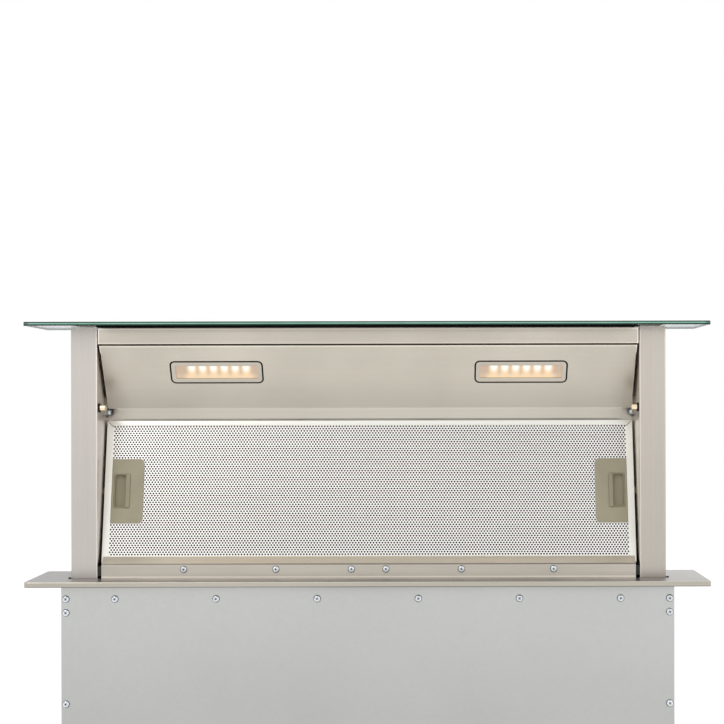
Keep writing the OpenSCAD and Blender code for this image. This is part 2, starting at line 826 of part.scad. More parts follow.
module outlet_spigot() {
    wall = 1.5;
    color(black) translate([box_w / 2, spigot_y, spigot_z]) rotate([0, 90, 0]) difference() {
        union() {
            cylinder(r = spigot_r - neck_drop, h = spigot_len / 2, $fn = 96);
            translate([0, 0, neck_len]) cylinder(r = spigot_r, h = spigot_len - neck_len, $fn = 96);
            linear_extrude(2) round_rect(2 * spigot_r - 8, 2 * spigot_r - 8, 10);
        }
        translate([0, 0, -cut]) cylinder(r = spigot_r - wall, h = spigot_len + 2 * cut, $fn = 96);
    }
}

// Electronics case on top of the blower's box.
module control_box() {
    wall = 2;
    color(black) translate([ctrl_x, spigot_y, box_z1]) difference() {
        linear_extrude(ctrl_h) round_rect(ctrl_w, ctrl_d, 6);
        translate([0, 0, -cut]) linear_extrude(ctrl_h - wall + cut)
            round_rect(ctrl_w - 2 * wall, ctrl_d - 2 * wall, 4);
        translate([-ctrl_w / 2 - cut, 0, ctrl_h / 2]) rod_x(gland_bore_r + 3, wall + 2 * cut);
    }
}

// Circuit board of the controls, on four stand-offs, with its larger components.
module control_board() {
    board_z = 8;
    top = board_z + 1.6;
    color([0.10, 0.36, 0.20]) translate([ctrl_x, spigot_y, box_z1]) {
        span([-ctrl_w / 2 + 12, -ctrl_d / 2 + 10, board_z], [ctrl_w / 2 - 12, ctrl_d / 2 - 10, top]);
        for (x = [-1, 1], y = [-1, 1]) {
            translate([x * (ctrl_w / 2 - 17), y * (ctrl_d / 2 - 15), 0]) cylinder(r = 3, h = board_z + eps);
        }
        span([-ctrl_w / 2 + 24, -18, top - eps], [-ctrl_w / 2 + 60, 18, top + 26]);
        for (k = [0 : 2]) {
            span([ctrl_w / 2 - 62 + 16 * k, 4, top - eps], [ctrl_w / 2 - 50 + 16 * k, 20, top + 15]);
        }
        translate([ctrl_w / 2 - 36, -14, top - eps]) cylinder(r = 7, h = 24);
    }
}

module cable_gland() {
    color(black) translate([ctrl_x - ctrl_w / 2, spigot_y, box_z1 + ctrl_h / 2]) difference() {
        union() {
            translate([-16, 0, 0]) rod_x(gland_bore_r + 4, 10);
            translate([-6, 0, 0]) rotate([0, 90, 0]) cylinder(r = gland_bore_r + 6, h = 6, $fn = 6);
            translate([-1, 0, 0]) rod_x(gland_bore_r + 3 - shank_clear, 9);
        }
        translate([-20, 0, 0]) rod_x(gland_bore_r, 40);
    }
}

// One column of the tower: a folded tube, open at its foot.
module column(side) {
    color(brushed) on_side(side) difference() {
        span([col_in, tower_y0, col_z0], [tower_w / 2, tower_y1, glass_z]);
        span([col_in + col_sheet, tower_y0 + col_sheet, col_z0 - cut],
             [tower_w / 2 - col_sheet, tower_y1 - col_sheet, glass_z - col_sheet]);
        translate([col_in - cut, bush_y, bush_z]) rod_x(bush_r + shank_clear, col_sheet + 2 * cut);
        translate([col_in - cut, pivot_y, pivot_z]) rod_x(pivot_r + pivot_clear, col_sheet + 2 * cut);
    }
}

// Folded header above the lamp panel.
module header_rail() {
    half = col_in - header_gap;
    color(brushed) {
        span([-half, tower_y0, header_z0], [half, tower_y0 + col_sheet, header_z1]);
        span([-half, tower_y0, header_z0], [half, tower_y0 + header_fold, header_z0 + col_sheet]);
        span([-half, tower_y0, header_z1 - top_plate_t - col_sheet],
             [half, tower_y0 + header_fold, header_z1 - top_plate_t]);
    }
}

module top_plate() {
    color(galvanised)
        span([-col_in, tower_y0 + col_sheet, header_z1 - top_plate_t], [col_in, tower_y1, header_z1]);
}

module glass_seal() {
    color(black) span([seal_end_gap - col_in, trim_y0 + seal_inset, header_z1],
                      [col_in - seal_end_gap, tower_y1, glass_z]);
}

module glass_top() {
    color([0.62, 0.78, 0.71]) translate([0, 0, glass_z]) linear_extrude(glass_t)
        round_rect(trim_w, trim_d, corner_r);
}

module back_panel() {
    color(brushed) span([-tower_w / 2, tower_y1, col_z0], [tower_w / 2, back_y1, glass_z]);
}

// Front rail of the tower with the sloping ledge that the filter stands behind.
module bottom_rail() {
    color(brushed) difference() {
        rotate([90, 0, 90]) translate([0, 0, -col_in]) linear_extrude(2 * col_in) polygon([
            [tower_y0, col_z0], [tower_y0 + col_sheet, col_z0],
            [tower_y0 + col_sheet, rail_z1 - col_sheet / 2],
            [ledge_y, ledge_z - col_sheet], [ledge_y, ledge_z], [tower_y0, rail_z1]]);
        for (x = rail_screw_x, s = [-1, 1]) {
            translate([s * x, tower_y0 - cut, trim_h + rail_screw_z]) rod_y(screw_hole_r, 4 * cut);
        }
        for (s = [0, 1]) mirror([s, 0, 0])
            span([col_in - rail_end_gap, tower_y0 - cut, deck_z],
                 [col_in + cut, ledge_y + cut, ledge_z + cut]);
    }
}

// Grease tray behind the rail, under the filter.
module drip_tray() {
    y0 = tower_y0 + col_sheet;
    floor = trim_h + rail_screw_z - head_r - 4;
    color(galvanised) difference() {
        union() {
            span([-col_in, y0, floor], [col_in, y0 + col_sheet, trim_h + rail_screw_z + head_r]);
            span([-col_in, y0, floor], [col_in, y0 + tray_d, floor + col_sheet]);
            span([-col_in, y0 + tray_d - col_sheet, floor], [col_in, y0 + tray_d, floor + tray_h]);
        }
        for (x = rail_screw_x, s = [-1, 1]) {
            translate([s * x, y0 - cut, trim_h + rail_screw_z]) rod_y(screw_hole_r, 4 * cut);
        }
    }
}

module rail_screws() {
    color(zinc) for (x = rail_screw_x, s = [-1, 1]) {
        translate([s * x, tower_y0, trim_h + rail_screw_z]) rotate([90, 0, 0]) sheet_screw();
    }
}

// Welded frame below the columns that carries the inner slides.
module lower_frame() {
    y0 = tower_y0 + 4;
    y1 = tower_y1 - 4;
    top = col_z0;
    color(galvanised) {
        both_sides() {
            span([skirt_out - col_sheet, y0, skirt_z0], [skirt_out, y1, top]);
            span([col_in, tower_y0, top - col_sheet], [tower_w / 2, tower_y1, top]);
        }
        span([-skirt_out, y0, skirt_z0], [skirt_out, y0 + col_sheet, skirt_z0 + crossbar_h]);
        span([-skirt_out, y0, skirt_z0], [skirt_out, y0 + 10, skirt_z0 + col_sheet]);
    }
}

// Brass bushes that stop the lamp panel when it tips forward.
module stop_bushes() {
    color(brass) both_sides() translate([col_in + col_sheet + 2, bush_y, bush_z]) rotate([0, -90, 0])
        cylinder(r = bush_r, h = bush_len + col_sheet + 2);
}

module bush_collars() {
    color(black) both_sides() translate([col_in, bush_y, bush_z]) rotate([0, -90, 0]) difference() {
        cylinder(r = collar_r, h = panel_side_gap - collar_gap);
        translate([0, 0, -cut]) cylinder(r = bush_r + shank_clear, h = 3 + 2 * cut);
    }
}

ear_x1 = col_in - ear_gap;
ear_x0 = ear_x1 - col_sheet;

// Pivot screws of the lamp panel, heads inwards.
module pivot_screws() {
    color(zinc) both_sides() translate([ear_x0 - 0.1, pivot_y, pivot_z]) rotate([0, -90, 0])
        pan_screw(pivot_head_r, 4, pivot_r, col_sheet + ear_gap + col_sheet + 4);
}

// Opening for one lamp in the panel.
module lamp_cutout(grow, depth) {
    rotate([90, 0, 0]) linear_extrude(depth) round_rect(lamp_w + 2 * grow, lamp_h + 2 * grow, lamp_r + grow);
}

// Sloping panel with its folds, lip and pivot ears.
module lamp_panel() {
    fold_top = -12;
    color(brushed) difference() {
        union() {
            at_panel() {
                span([-panel_half, 0, -panel_len], [panel_half, col_sheet, 0]);
                both_sides()
                    span([panel_half - col_sheet, 0, -panel_len], [panel_half, panel_fold, fold_top]);
            }
            span([-panel_half + lip_inset, panel_y1 - eps, lip_z0],
                 [panel_half - lip_inset, panel_y1 + col_sheet, panel_z0 + col_sheet]);
            both_sides() {
                translate([ear_x0, pivot_y, pivot_z]) rod_x(ear_r, col_sheet);
                hull() {
                    translate([ear_x0, pivot_y - ear_r, pivot_z]) cube([col_sheet, 2 * ear_r, 1]);
                    translate([ear_x0, pivot_y - ear_r, pivot_z + 16]) cube([col_sheet, ear_r, 4]);
                }
                span([panel_half - col_sheet, pivot_y - ear_r, pivot_z + 14],
                     [ear_x1, pivot_y - ear_r + 4, pivot_z + 20]);
            }
        }
        both_sides() translate([ear_x0 - cut, pivot_y, pivot_z])
            rod_x(pivot_r + pivot_clear, col_sheet + 2 * cut);
        at_panel() both_sides() translate([lamp_x, 3, -lamp_down]) lamp_cutout(lamp_gap, 6);
    }
}

// Frame of one lamp, held in the panel by its case.
module lamp_bezel(side) {
    color(brushed) at_panel() on_side(side) translate([lamp_x, 0, -lamp_down]) difference() {
        union() {
            translate([0, col_sheet, 0]) lamp_cutout(0, col_sheet + 0.6);
            translate([0, lamp_case_d, 0]) lamp_cutout(2, lamp_case_d - col_sheet);
        }
        span([-lens_w / 2, -cut, -lens_h / 2], [lens_w / 2, col_sheet + 1, lens_h / 2]);
        span([-lens_w / 2 - 2, col_sheet, -lens_h / 2 - 2],
             [lens_w / 2 + 2, lamp_case_d - 1.5, lens_h / 2 + 2]);
    }
}

module lamp_lens(side) {
    color([0.98, 0.93, 0.85]) at_panel() on_side(side) translate([lamp_x, col_sheet, -lamp_down])
        span([-lens_w / 2 - 2, 0, -lens_h / 2 - 2], [lens_w / 2 + 2, lens_t, lens_h / 2 + 2]);
}

// Circuit boards with their rows of diodes.
module lamp_boards() {
    back = lamp_case_d - 1.5;
    color([0.95, 0.95, 0.92]) at_panel() both_sides() translate([lamp_x, 0, -lamp_down]) {
        span([-lens_w / 2 - 2, back - 1.6, -lens_h / 2 - 2], [lens_w / 2 + 2, back, lens_h / 2 + 2]);
        for (k = [0 : led_count - 1]) {
            translate([(k - (led_count - 1) / 2) * led_pitch, back - 1.6, lens_h / 2 - 6])
                span([-1.75, -1, -1.4], [1.75, eps, 1.4]);
        }
    }
}

latch_down = filter_len * latch_share;
slider_out = latch_x + latch_w / 2 - 2.2;
slider_in = slider_out - recess_w - 2.4;
window_in = slider_in - latch_travel - 0.3;
window_out = slider_out + 0.3;
window_half = recess_h / 2 + 1.4;
bolt_y = 2.5;

// Clear space for the two bolts through the filter's sides.
module bolt_slots() {
    both_sides() span([slider_out - 2, bolt_y - 0.3, -latch_down - bolt_h / 2 - 0.3],
                      [filter_half + cut, bolt_y + bolt_t + 0.3, -latch_down + bolt_h / 2 + 0.3]);
}

// Clear space for the two latch pockets in the filter's face.
module pocket_spaces() {
    both_sides() span([window_in - 1.6, 0.5, -latch_down - window_half - 1.6],
                      [window_out + 1.6, 8.1, -latch_down + window_half + 1.6]);
}

// Folded aluminium frame around the filter.
module filter_frame() {
    color(alloy) at_filter() difference() {
        span([-filter_half, 0, -filter_len], [filter_half, filter_t, 0]);
        span([-filter_half + frame_sheet, frame_sheet, -filter_len + frame_sheet],
             [filter_half - frame_sheet, filter_t - frame_sheet, -frame_sheet]);
        span([-filter_half + frame_w, -cut, -filter_len + frame_w],
             [filter_half - frame_w, filter_t + cut, -frame_w]);
        bolt_slots();
    }
}

// Perforated sheet at the filter's front.
module filter_mesh() {
    edge = frame_sheet + 0.1;
    color([0.80, 0.80, 0.79]) at_filter() difference() {
        span([-filter_half + edge, frame_sheet, -filter_len + edge],
             [filter_half - edge, frame_sheet + mesh_t, -edge]);
        pocket_spaces();
    }
}

// Packs of expanded mesh layers that catch the grease, one in the middle and two at each latch.
module filter_core() {
    edge = frame_sheet + 0.1;
    x1 = window_in - 1.6;
    y0 = frame_sheet + mesh_t;
    y1 = filter_t - frame_sheet;
    room = window_half + 1.6;
    color([0.66, 0.66, 0.66]) at_filter() {
        span([-x1, y0, -filter_len + edge], [x1, y1, -edge]);
        both_sides() {
            span([x1 + 0.2, y0, -latch_down + room], [filter_half - edge, y1, -edge]);
            span([x1 + 0.2, y0, -filter_len + edge], [filter_half - edge, y1, -latch_down - room]);
        }
    }
}

// Latch plate with the pocket that its slider runs in.
module latch_plate(side) {
    face = -0.5;
    color(olive) at_filter() on_side(side) translate([0, 0, -latch_down]) difference() {
        union() {
            translate([latch_x, frame_sheet, 0]) rotate([90, 0, 0])
                linear_extrude(frame_sheet - face) round_rect(latch_w, latch_h, latch_r);
            span([window_in - 1.5, frame_sheet - eps, -window_half - 1.5],
                 [window_out + 1.5, 8, window_half + 1.5]);
        }
        span([window_in, face - cut, -window_half], [window_out, slider_d, window_half]);
        span([slider_out - 2, bolt_y - 0.3, -bolt_h / 2 - 0.3],
             [window_out + 2, bolt_y + bolt_t + 0.3, bolt_h / 2 + 0.3]);
    }
}

// Sliding bolt of a latch, with its finger recess and raised grip.
module latch_slider(side) {
    face = -0.5;
    back = slider_d - 0.4;
    half = recess_h / 2 + 1;
    color(olive * 0.85) at_filter() on_side(side) translate([0, 0, -latch_down]) difference() {
        union() {
            span([slider_in, face, -half], [slider_out, back, half]);
            span([slider_in + 1.2 - grip_w, face - 1.7, -half], [slider_in + 1.2, face - 0.3, half]);
            span([slider_in, face - 1.7, -half], [slider_in + 1.2, back, half]);
            span([slider_out - eps, bolt_y, -bolt_h / 2], [col_in - bolt_gap, bolt_y + bolt_t, bolt_h / 2]);
        }
        span([slider_in + 1.2, face - cut, -recess_h / 2], [slider_out - 1.2, back - 1.2, recess_h / 2]);
    }
}

worktop_trim();
trim_gasket();
housing_front();
housing_back();
housing_side(-1);  // housing_left_side
housing_side(1);  // housing_right_side
housing_base();
housing_screws();
floor_feet();
slide_outer(-1);  // left_slide_outer
slide_outer(1);  // right_slide_outer
slide_middle(-1);  // left_slide_middle
slide_middle(1);  // right_slide_middle
slide_inner(-1);  // left_slide_inner
slide_inner(1);  // right_slide_inner
actuator_tube();
actuator_gear_case();
actuator_foot();
clevis_pin(low_pin_z);  // actuator_lower_pin
actuator_rod();
actuator_head_bracket();
clevis_pin(rod_pin_z);  // actuator_upper_pin
blower_box();
blower_cover();
blower_scroll();
scroll_plate(scroll_depth - scroll_wall, motor_r + 0.3);  // scroll_front
scroll_plate(0, inlet_r + 2);  // scroll_back
fan_motor();
impeller_hub();
impeller_blades();
impeller_rim();
inlet_ring();
outlet_spigot();
control_box();
control_board();
cable_gland();
column(-1);  // left_column
column(1);  // right_column
header_rail();
back_panel();
bottom_rail();
rail_screws();
glass_top();
glass_seal();
top_plate();
drip_tray();
lower_frame();
stop_bushes();
bush_collars();
pivot_screws();
lamp_panel();
lamp_bezel(-1);  // left_lamp_bezel
lamp_bezel(1);  // right_lamp_bezel
lamp_lens(-1);  // left_lamp_lens
lamp_lens(1);  // right_lamp_lens
lamp_boards();
filter_frame();
filter_mesh();
filter_core();
latch_plate(-1);  // left_latch_plate
latch_plate(1);  // right_latch_plate
latch_slider(-1);  // left_latch_slider
latch_slider(1);  // right_latch_slider
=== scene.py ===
"""Retractable range hood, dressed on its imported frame.

Lengths in the classes are millimetres in the row frame; Blender's own are metres. The front
faces -Y, +X is to the right and z = 0 is the worktop's surface.
"""
from __future__ import annotations

import json
import logging
import math
from dataclasses import dataclass, field
from enum import Enum
from typing import Callable, Dict, Iterable, List, Optional, Sequence, Tuple

import bmesh
import bpy
from mathutils import Matrix, Vector

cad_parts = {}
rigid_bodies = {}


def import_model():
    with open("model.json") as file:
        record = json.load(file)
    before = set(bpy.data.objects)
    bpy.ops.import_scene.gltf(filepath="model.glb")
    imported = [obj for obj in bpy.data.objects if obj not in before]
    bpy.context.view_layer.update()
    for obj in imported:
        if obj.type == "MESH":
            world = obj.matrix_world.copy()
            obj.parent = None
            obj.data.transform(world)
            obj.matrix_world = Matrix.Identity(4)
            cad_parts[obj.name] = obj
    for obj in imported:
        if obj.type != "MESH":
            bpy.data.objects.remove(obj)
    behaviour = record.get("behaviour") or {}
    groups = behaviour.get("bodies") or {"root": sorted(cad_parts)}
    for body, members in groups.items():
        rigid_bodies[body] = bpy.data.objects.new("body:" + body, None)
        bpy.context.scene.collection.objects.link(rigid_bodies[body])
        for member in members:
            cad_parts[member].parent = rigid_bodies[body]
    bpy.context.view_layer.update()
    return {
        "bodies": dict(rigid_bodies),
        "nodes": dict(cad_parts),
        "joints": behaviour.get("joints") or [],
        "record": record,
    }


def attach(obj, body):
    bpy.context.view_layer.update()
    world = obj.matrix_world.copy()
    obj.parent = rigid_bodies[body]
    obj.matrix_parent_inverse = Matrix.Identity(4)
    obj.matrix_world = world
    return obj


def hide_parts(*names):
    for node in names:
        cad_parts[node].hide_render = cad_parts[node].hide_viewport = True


# Metres in a millimetre, and the millimetres within which two places count as one.
MM = 0.001
NEAR = 0.01
LOG = logging.getLogger("range_hood")

Triple = Tuple[float, float, float]
Pair = Tuple[float, float]
Test = Callable[[Vector, Vector], bool]
Piece = bpy.types.Object
Material = bpy.types.Material
Tree = bpy.types.NodeTree
Node = bpy.types.Node
Socket = bpy.types.NodeSocket
Inputs = bpy.types.bpy_prop_collection


class Body(str, Enum):
    """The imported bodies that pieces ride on."""

    HOUSING = "housing"
    TOWER = "tower"
    LAMP_PANEL = "lamp_panel"
    FILTER = "filter"
    LEFT_LATCH = "left_latch"
    RIGHT_LATCH = "right_latch"


class Part(Enum):
    """What an edit picks."""

    VERTS = "VERT"
    EDGES = "EDGE"
    FACES = "FACE"


class Side(Enum):
    """A side of the hood, seen from the cook."""

    LEFT = -1
    RIGHT = 1

    @property
    def word(self) -> str:
        """The side's word in node names."""
        return self.name.lower()


@dataclass(frozen=True)
class Layout:
    """Places that several sub-assemblies share."""

    column_in: float = 353.9
    column_out: float = 388.3
    tower_front: float = -21.0
    tower_back: float = 47.0
    column_foot: float = -46.0
    glass_z: float = 335.0
    glass_t: float = 5.0
    trim_top: float = 7.0
    sheet: float = 1.2
    header_low: float = 312.5
    header_high: float = 333.5
    panel_top: Pair = (-21.0, 310.4)
    panel_foot: Pair = (29.0, 228.0)
    panel_half: float = 351.2
    pivot: Pair = (38.0, 223.2)
    filter_top: Pair = (29.0, 212.0)
    filter_lean: float = math.atan2(37.8, 178.0)
    filter_len: float = 187.0 / math.cos(math.atan2(37.8, 178.0))
    filter_half: float = 351.5
    ledge: Pair = (-9.2, 34.0)
    rail_top: float = 24.6
    housing_half: float = 394.0
    housing_front: float = -50.0
    housing_back: float = 54.0
    housing_foot: float = -712.0
    lamp_x: float = 200.8
    lamp_down: float = 40.3
    lamp_window: Pair = (108.0, 19.0)
    screw: Triple = (4.25, 2.4, 2.3)

    @property
    def panel_lean(self) -> float:
        """The lamp panel's lean from upright."""
        return math.atan2(self.panel_foot[0] - self.panel_top[0], self.panel_top[1] - self.panel_foot[1])

    @property
    def panel_len(self) -> float:
        """The lamp panel's length down its slope."""
        return math.hypot(self.panel_foot[0] - self.panel_top[0], self.panel_top[1] - self.panel_foot[1])

    @property
    def panel_frame(self) -> Matrix:
        """The lamp panel's own frame, in metres: z runs up its slope and y goes in behind its face."""
        place = Matrix.Translation(Vector((0, *self.panel_top)) * MM)
        return place @ Matrix.Rotation(self.panel_lean, 4, "X")

    @property
    def filter_frame(self) -> Matrix:
        """The filter's own frame, in metres: z runs up its face and y goes in behind it."""
        place = Matrix.Translation(Vector((0, *self.filter_top)) * MM)
        return place @ Matrix.Rotation(-self.filter_lean, 4, "X")


LAYOUT = Layout()


class Bench:
    """Modelling steps, each on one piece."""

    @staticmethod
    def clear() -> None:
        """Leave edit mode and select nothing."""
        if bpy.context.mode != "OBJECT":
            bpy.ops.object.mode_set(mode="OBJECT")
        bpy.ops.object.select_all(action="DESELECT")

    @staticmethod
    def take(*pieces: Piece) -> None:
        """Select only these pieces, the first one active.

        Args:
            *pieces: The pieces.
        """
        Bench.clear()
        for piece in pieces:
            piece.select_set(True)
        bpy.context.view_layer.objects.active = pieces[0]

    @staticmethod
    def settle(name: str) -> Piece:
        """Name the new primitive and put its place into its mesh.

        Args:
            name: The piece's name.

        Returns:
            The piece, with its origin at the frame's origin.
        """
        piece = bpy.context.active_object
        piece.name = piece.data.name = name
        bpy.ops.object.transform_apply(location=True, rotation=True, scale=True)
        return piece

    @staticmethod
    def box(name: str, low: Triple, high: Triple) -> Piece:
        """Add a box from its lowest to its highest corner.

        Args:
            name: The piece's name.
            low: Lowest corner.
            high: Highest corner.

        Returns:
            The box.
        """
        Bench.clear()
        a, b = Vector(low) * MM, Vector(high) * MM
        bpy.ops.mesh.primitive_cube_add(size=1.0, location=(a + b) / 2)
        bpy.context.active_object.scale = b - a
        return Bench.settle(name)

    @staticmethod
    def rod(name: str, start: Triple, axis: str, radius: float, length: float,
            sides: int = 48) -> Piece:
        """Add a round rod.

        Args:
            name: The piece's name.
            start: Middle of the end from which it runs.
            axis: "x", "y" or "z", the direction that it runs in.
            radius: Its radius.
            length: Its length along the axis, below 0 to run the other way.
            sides: Facets round it.

        Returns:
            The rod.
        """
        Bench.clear()
        turn = {"x": (0, math.pi / 2, 0), "y": (-math.pi / 2, 0, 0), "z": (0, 0, 0)}[axis]
        way = Vector({"x": (1, 0, 0), "y": (0, 1, 0), "z": (0, 0, 1)}[axis])
        middle = (Vector(start) + way * length / 2) * MM
        bpy.ops.mesh.primitive_cylinder_add(vertices=sides, radius=radius * MM, depth=abs(length) * MM,
                                            location=middle, rotation=turn)
        return Bench.settle(name)

    @staticmethod
    def edit(piece: Piece, part: Part, test: Optional[Test] = None) -> int:
        """Open the piece with only the parts that pass the test selected.

        Args:
            piece: The piece to edit.
            part: Which parts to pick.
            test: Takes a part's place in millimetres and its direction: a face's or vertex's
                normal, or an edge's run. None picks them all.

        Returns:
            How many parts were picked.
        """
        Bench.take(piece)
        bpy.ops.object.mode_set(mode="EDIT")
        bpy.ops.mesh.select_mode(type=part.value)
        bpy.ops.mesh.select_all(action="DESELECT")
        mesh = bmesh.from_edit_mesh(piece.data)
        mesh.normal_update()
        count = 0
        if part is Part.FACES:
            found = [(f, f.calc_center_median(), f.normal) for f in mesh.faces]
        elif part is Part.EDGES:
            found = [(e, (e.verts[0].co + e.verts[1].co) / 2,
                      (e.verts[1].co - e.verts[0].co).normalized()) for e in mesh.edges]
        else:
            found = [(v, v.co.copy(), v.normal) for v in mesh.verts]
        for element, place, direction in found:
            if test is None or test(place / MM, direction):
                element.select_set(True)
                count += 1
        mesh.select_flush_mode()
        bmesh.update_edit_mesh(piece.data)
        return count

    @staticmethod
    def done() -> None:
        """Close the piece that is open."""
        bpy.ops.object.mode_set(mode="OBJECT")

    @staticmethod
    def bevel(piece: Piece, width: float, segments: int, test: Test) -> None:
        """Round the edges that pass the test.

        Args:
            piece: The piece.
            width: Radius of the rounding.
            segments: Facets across it.
            test: Picks the edges.
        """
        Bench.edit(piece, Part.EDGES, test)
        bpy.ops.mesh.bevel(offset=width * MM, segments=segments, affect="EDGES", clamp_overlap=True)
        Bench.done()

    @staticmethod
    def extrude(shift: Triple) -> None:
        """Extrude what is selected in the open piece by a shift."""
        bpy.ops.mesh.extrude_region_move(TRANSFORM_OT_translate={"value": Vector(shift) * MM})

    @staticmethod
    def drop(piece: Piece, test: Test) -> None:
        """Delete the faces that pass the test.

        Args:
            piece: The piece.
            test: Picks the faces.
        """
        Bench.edit(piece, Part.FACES, test)
        bpy.ops.mesh.delete(type="FACE")
        Bench.done()

    @staticmethod
    def slice(piece: Piece, place: Triple, normal: Triple, lose: Optional[str] = None,
              fill: bool = False) -> None:
        """Cut the whole piece along a plane.

        Args:
            piece: The piece.
            place: A point of the plane.
            normal: The plane's normal.
            lose: "front" loses what lies along the normal, "back" what lies against it.
            fill: Whether the cut is closed.
        """
        Bench.edit(piece, Part.FACES)
        bpy.ops.mesh.bisect(plane_co=Vector(place) * MM, plane_no=normal, use_fill=fill,
                            clear_outer=lose == "front", clear_inner=lose == "back", threshold=1e-7)
        Bench.done()

    @staticmethod
    def modify(piece: Piece, kind: str, **settings: object) -> None:
        """Add a modifier with these settings and apply it.

        Args:
            piece: The piece.
            kind: Blender's name of the modifier.
            **settings: Its settings.
        """
        Bench.take(piece)
        modifier = piece.modifiers.new(kind.title(), kind)
        for key, value in settings.items():
            setattr(modifier, key, value)
        bpy.ops.object.modifier_apply(modifier=modifier.name)

    @staticmethod
    def thicken(piece: Piece, thickness: float) -> None:
        """Give an open sheet its thickness behind its faces."""
        Bench.modify(piece, "SOLIDIFY", thickness=thickness * MM, offset=-1.0, use_even_offset=True)

    @staticmethod
    def soften(piece: Piece, width: float, segments: int = 2, angle: float = 35.0) -> None:
        """Break the piece's sharp edges."""
        Bench.modify(piece, "BEVEL", width=width * MM, segments=segments, limit_method="ANGLE",
                     angle_limit=math.radians(angle), harden_normals=False)

    @staticmethod
    def cut(piece: Piece, *cutters: Piece) -> Piece:
        """Take the cutters' shapes out of the piece and clear them away.

        Args:
            piece: The piece.
            *cutters: Closed shapes.

        Returns:
            The piece.
        """
        for cutter in cutters:
            Bench.modify(piece, "BOOLEAN", operation="DIFFERENCE", solver="EXACT", object=cutter)
            bpy.data.objects.remove(cutter)
        return piece

    @staticmethod
    def join(piece: Piece, *others: Piece) -> Piece:
        """Join other pieces into the first.

        Args:
            piece: The first piece.
            *others: The pieces that become part of it.

        Returns:
            The first piece.
        """
        if others:
            Bench.take(piece, *others)
            bpy.ops.object.join()
        return piece

    @staticmethod
    def copy(piece: Piece, name: str, shift: Triple = (0, 0, 0),
             frame: Optional[Matrix] = None) -> Piece:
        """Copy a piece with its own mesh.

        Args:
            piece: The piece.
            name: The copy's name.
            shift: How far the copy lies from the piece.
            frame: A frame in metres that the copy is put into before the shift.

        Returns:
            The copy.
        """
        Bench.take(piece)
        bpy.ops.object.duplicate()
        twin = bpy.context.active_object
        twin.matrix_world = Matrix.Translation(Vector(shift) * MM) @ (frame or Matrix.Identity(4))
        return Bench.settle(name)

    @staticmethod
    def mirror(piece: Piece, name: str) -> Piece:
        """Copy a piece to the other side of the hood, turned right side out.

        Args:
            piece: The piece.
            name: The copy's name.

        Returns:
            The mirrored copy.
        """
        twin = Bench.copy(piece, name, frame=Matrix.Scale(-1, 4, (1, 0, 0)))
        if Bench.bulk(twin) * Bench.bulk(piece) < 0:
            Bench.flip(twin)
        return twin

    @staticmethod
    def both(piece: Piece) -> Piece:
        """Join a piece of the right side with its mirror image."""
        return Bench.join(piece, Bench.mirror(piece, "mirror_image"))

    @staticmethod
    def bulk(piece: Piece) -> float:
        """Measure which way a piece's faces look.

        Args:
            piece: The piece.

        Returns:
            Above 0 where the faces look outwards on the whole, below 0 where they look inwards.
        """
        middle = Vector((0, 0, 0))
        for vertex in piece.data.vertices:
            middle += vertex.co
        middle /= max(1, len(piece.data.vertices))
        return sum(f.normal.dot(f.center - middle) * f.area for f in piece.data.polygons)

    @staticmethod
    def orient(piece: Piece) -> None:
        """Turn the piece's faces the same way round.

        Args:
            piece: The piece.
        """
        Bench.edit(piece, Part.FACES)
        bpy.ops.mesh.normals_make_consistent(inside=False)
        Bench.done()

    @staticmethod
    def flip(piece: Piece) -> None:
        """Turn the piece's faces the other way round.

        Args:
            piece: The piece.
        """
        Bench.edit(piece, Part.FACES)
        bpy.ops.mesh.flip_normals()
        Bench.done()

    @staticmethod
    def put(piece: Piece, frame: Matrix) -> Piece:
        """Move a piece modelled in a frame's own axes into that frame.

        Args:
            piece: The piece.
            frame: The frame, in metres.

        Returns:
            The piece.
        """
        Bench.take(piece)
        piece.matrix_world = frame
        bpy.ops.object.transform_apply(location=True, rotation=True, scale=True)
        return piece

    @staticmethod
    def merge(piece: Piece, outward: bool = True) -> None:
        """Merge the piece's doubles.

        Args:
            piece: The piece.
            outward: Whether its faces are turned outwards too.
        """
        Bench.edit(piece, Part.VERTS)
        bpy.ops.mesh.remove_doubles(threshold=NEAR * MM)
        if outward:
            bpy.ops.mesh.normals_make_consistent(inside=False)
        Bench.done()

    @staticmethod
    def slab(name: str, low: Triple, high: Triple, radius: float, segments: int = 8) -> Piece:
        """Add a box whose upright edges are rounded.

        Args:
            name: The piece's name.
            low: Lowest corner.
            high: Highest corner.
            radius: Radius of the upright edges.
            segments: Facets of each rounding.

        Returns:
            The slab.
        """
        piece = Bench.box(name, low, high)
        Bench.bevel(piece, radius, segments, lambda at, run: abs(run.z) > 0.9)
        return piece

    @staticmethod
    def plaque(name: str, low: Triple, high: Triple, radius: float, segments: int = 6) -> Piece:
        """Add a box whose edges along Y are rounded.

        Args:
            name: The piece's name.
            low: Lowest corner.
            high: Highest corner.
            radius: Radius of the edges along Y.
            segments: Facets of each rounding.

        Returns:
            The plaque.
        """
        piece = Bench.box(name, low, high)
        Bench.bevel(piece, radius, segments, lambda at, run: abs(run.y) > 0.9)
        return piece

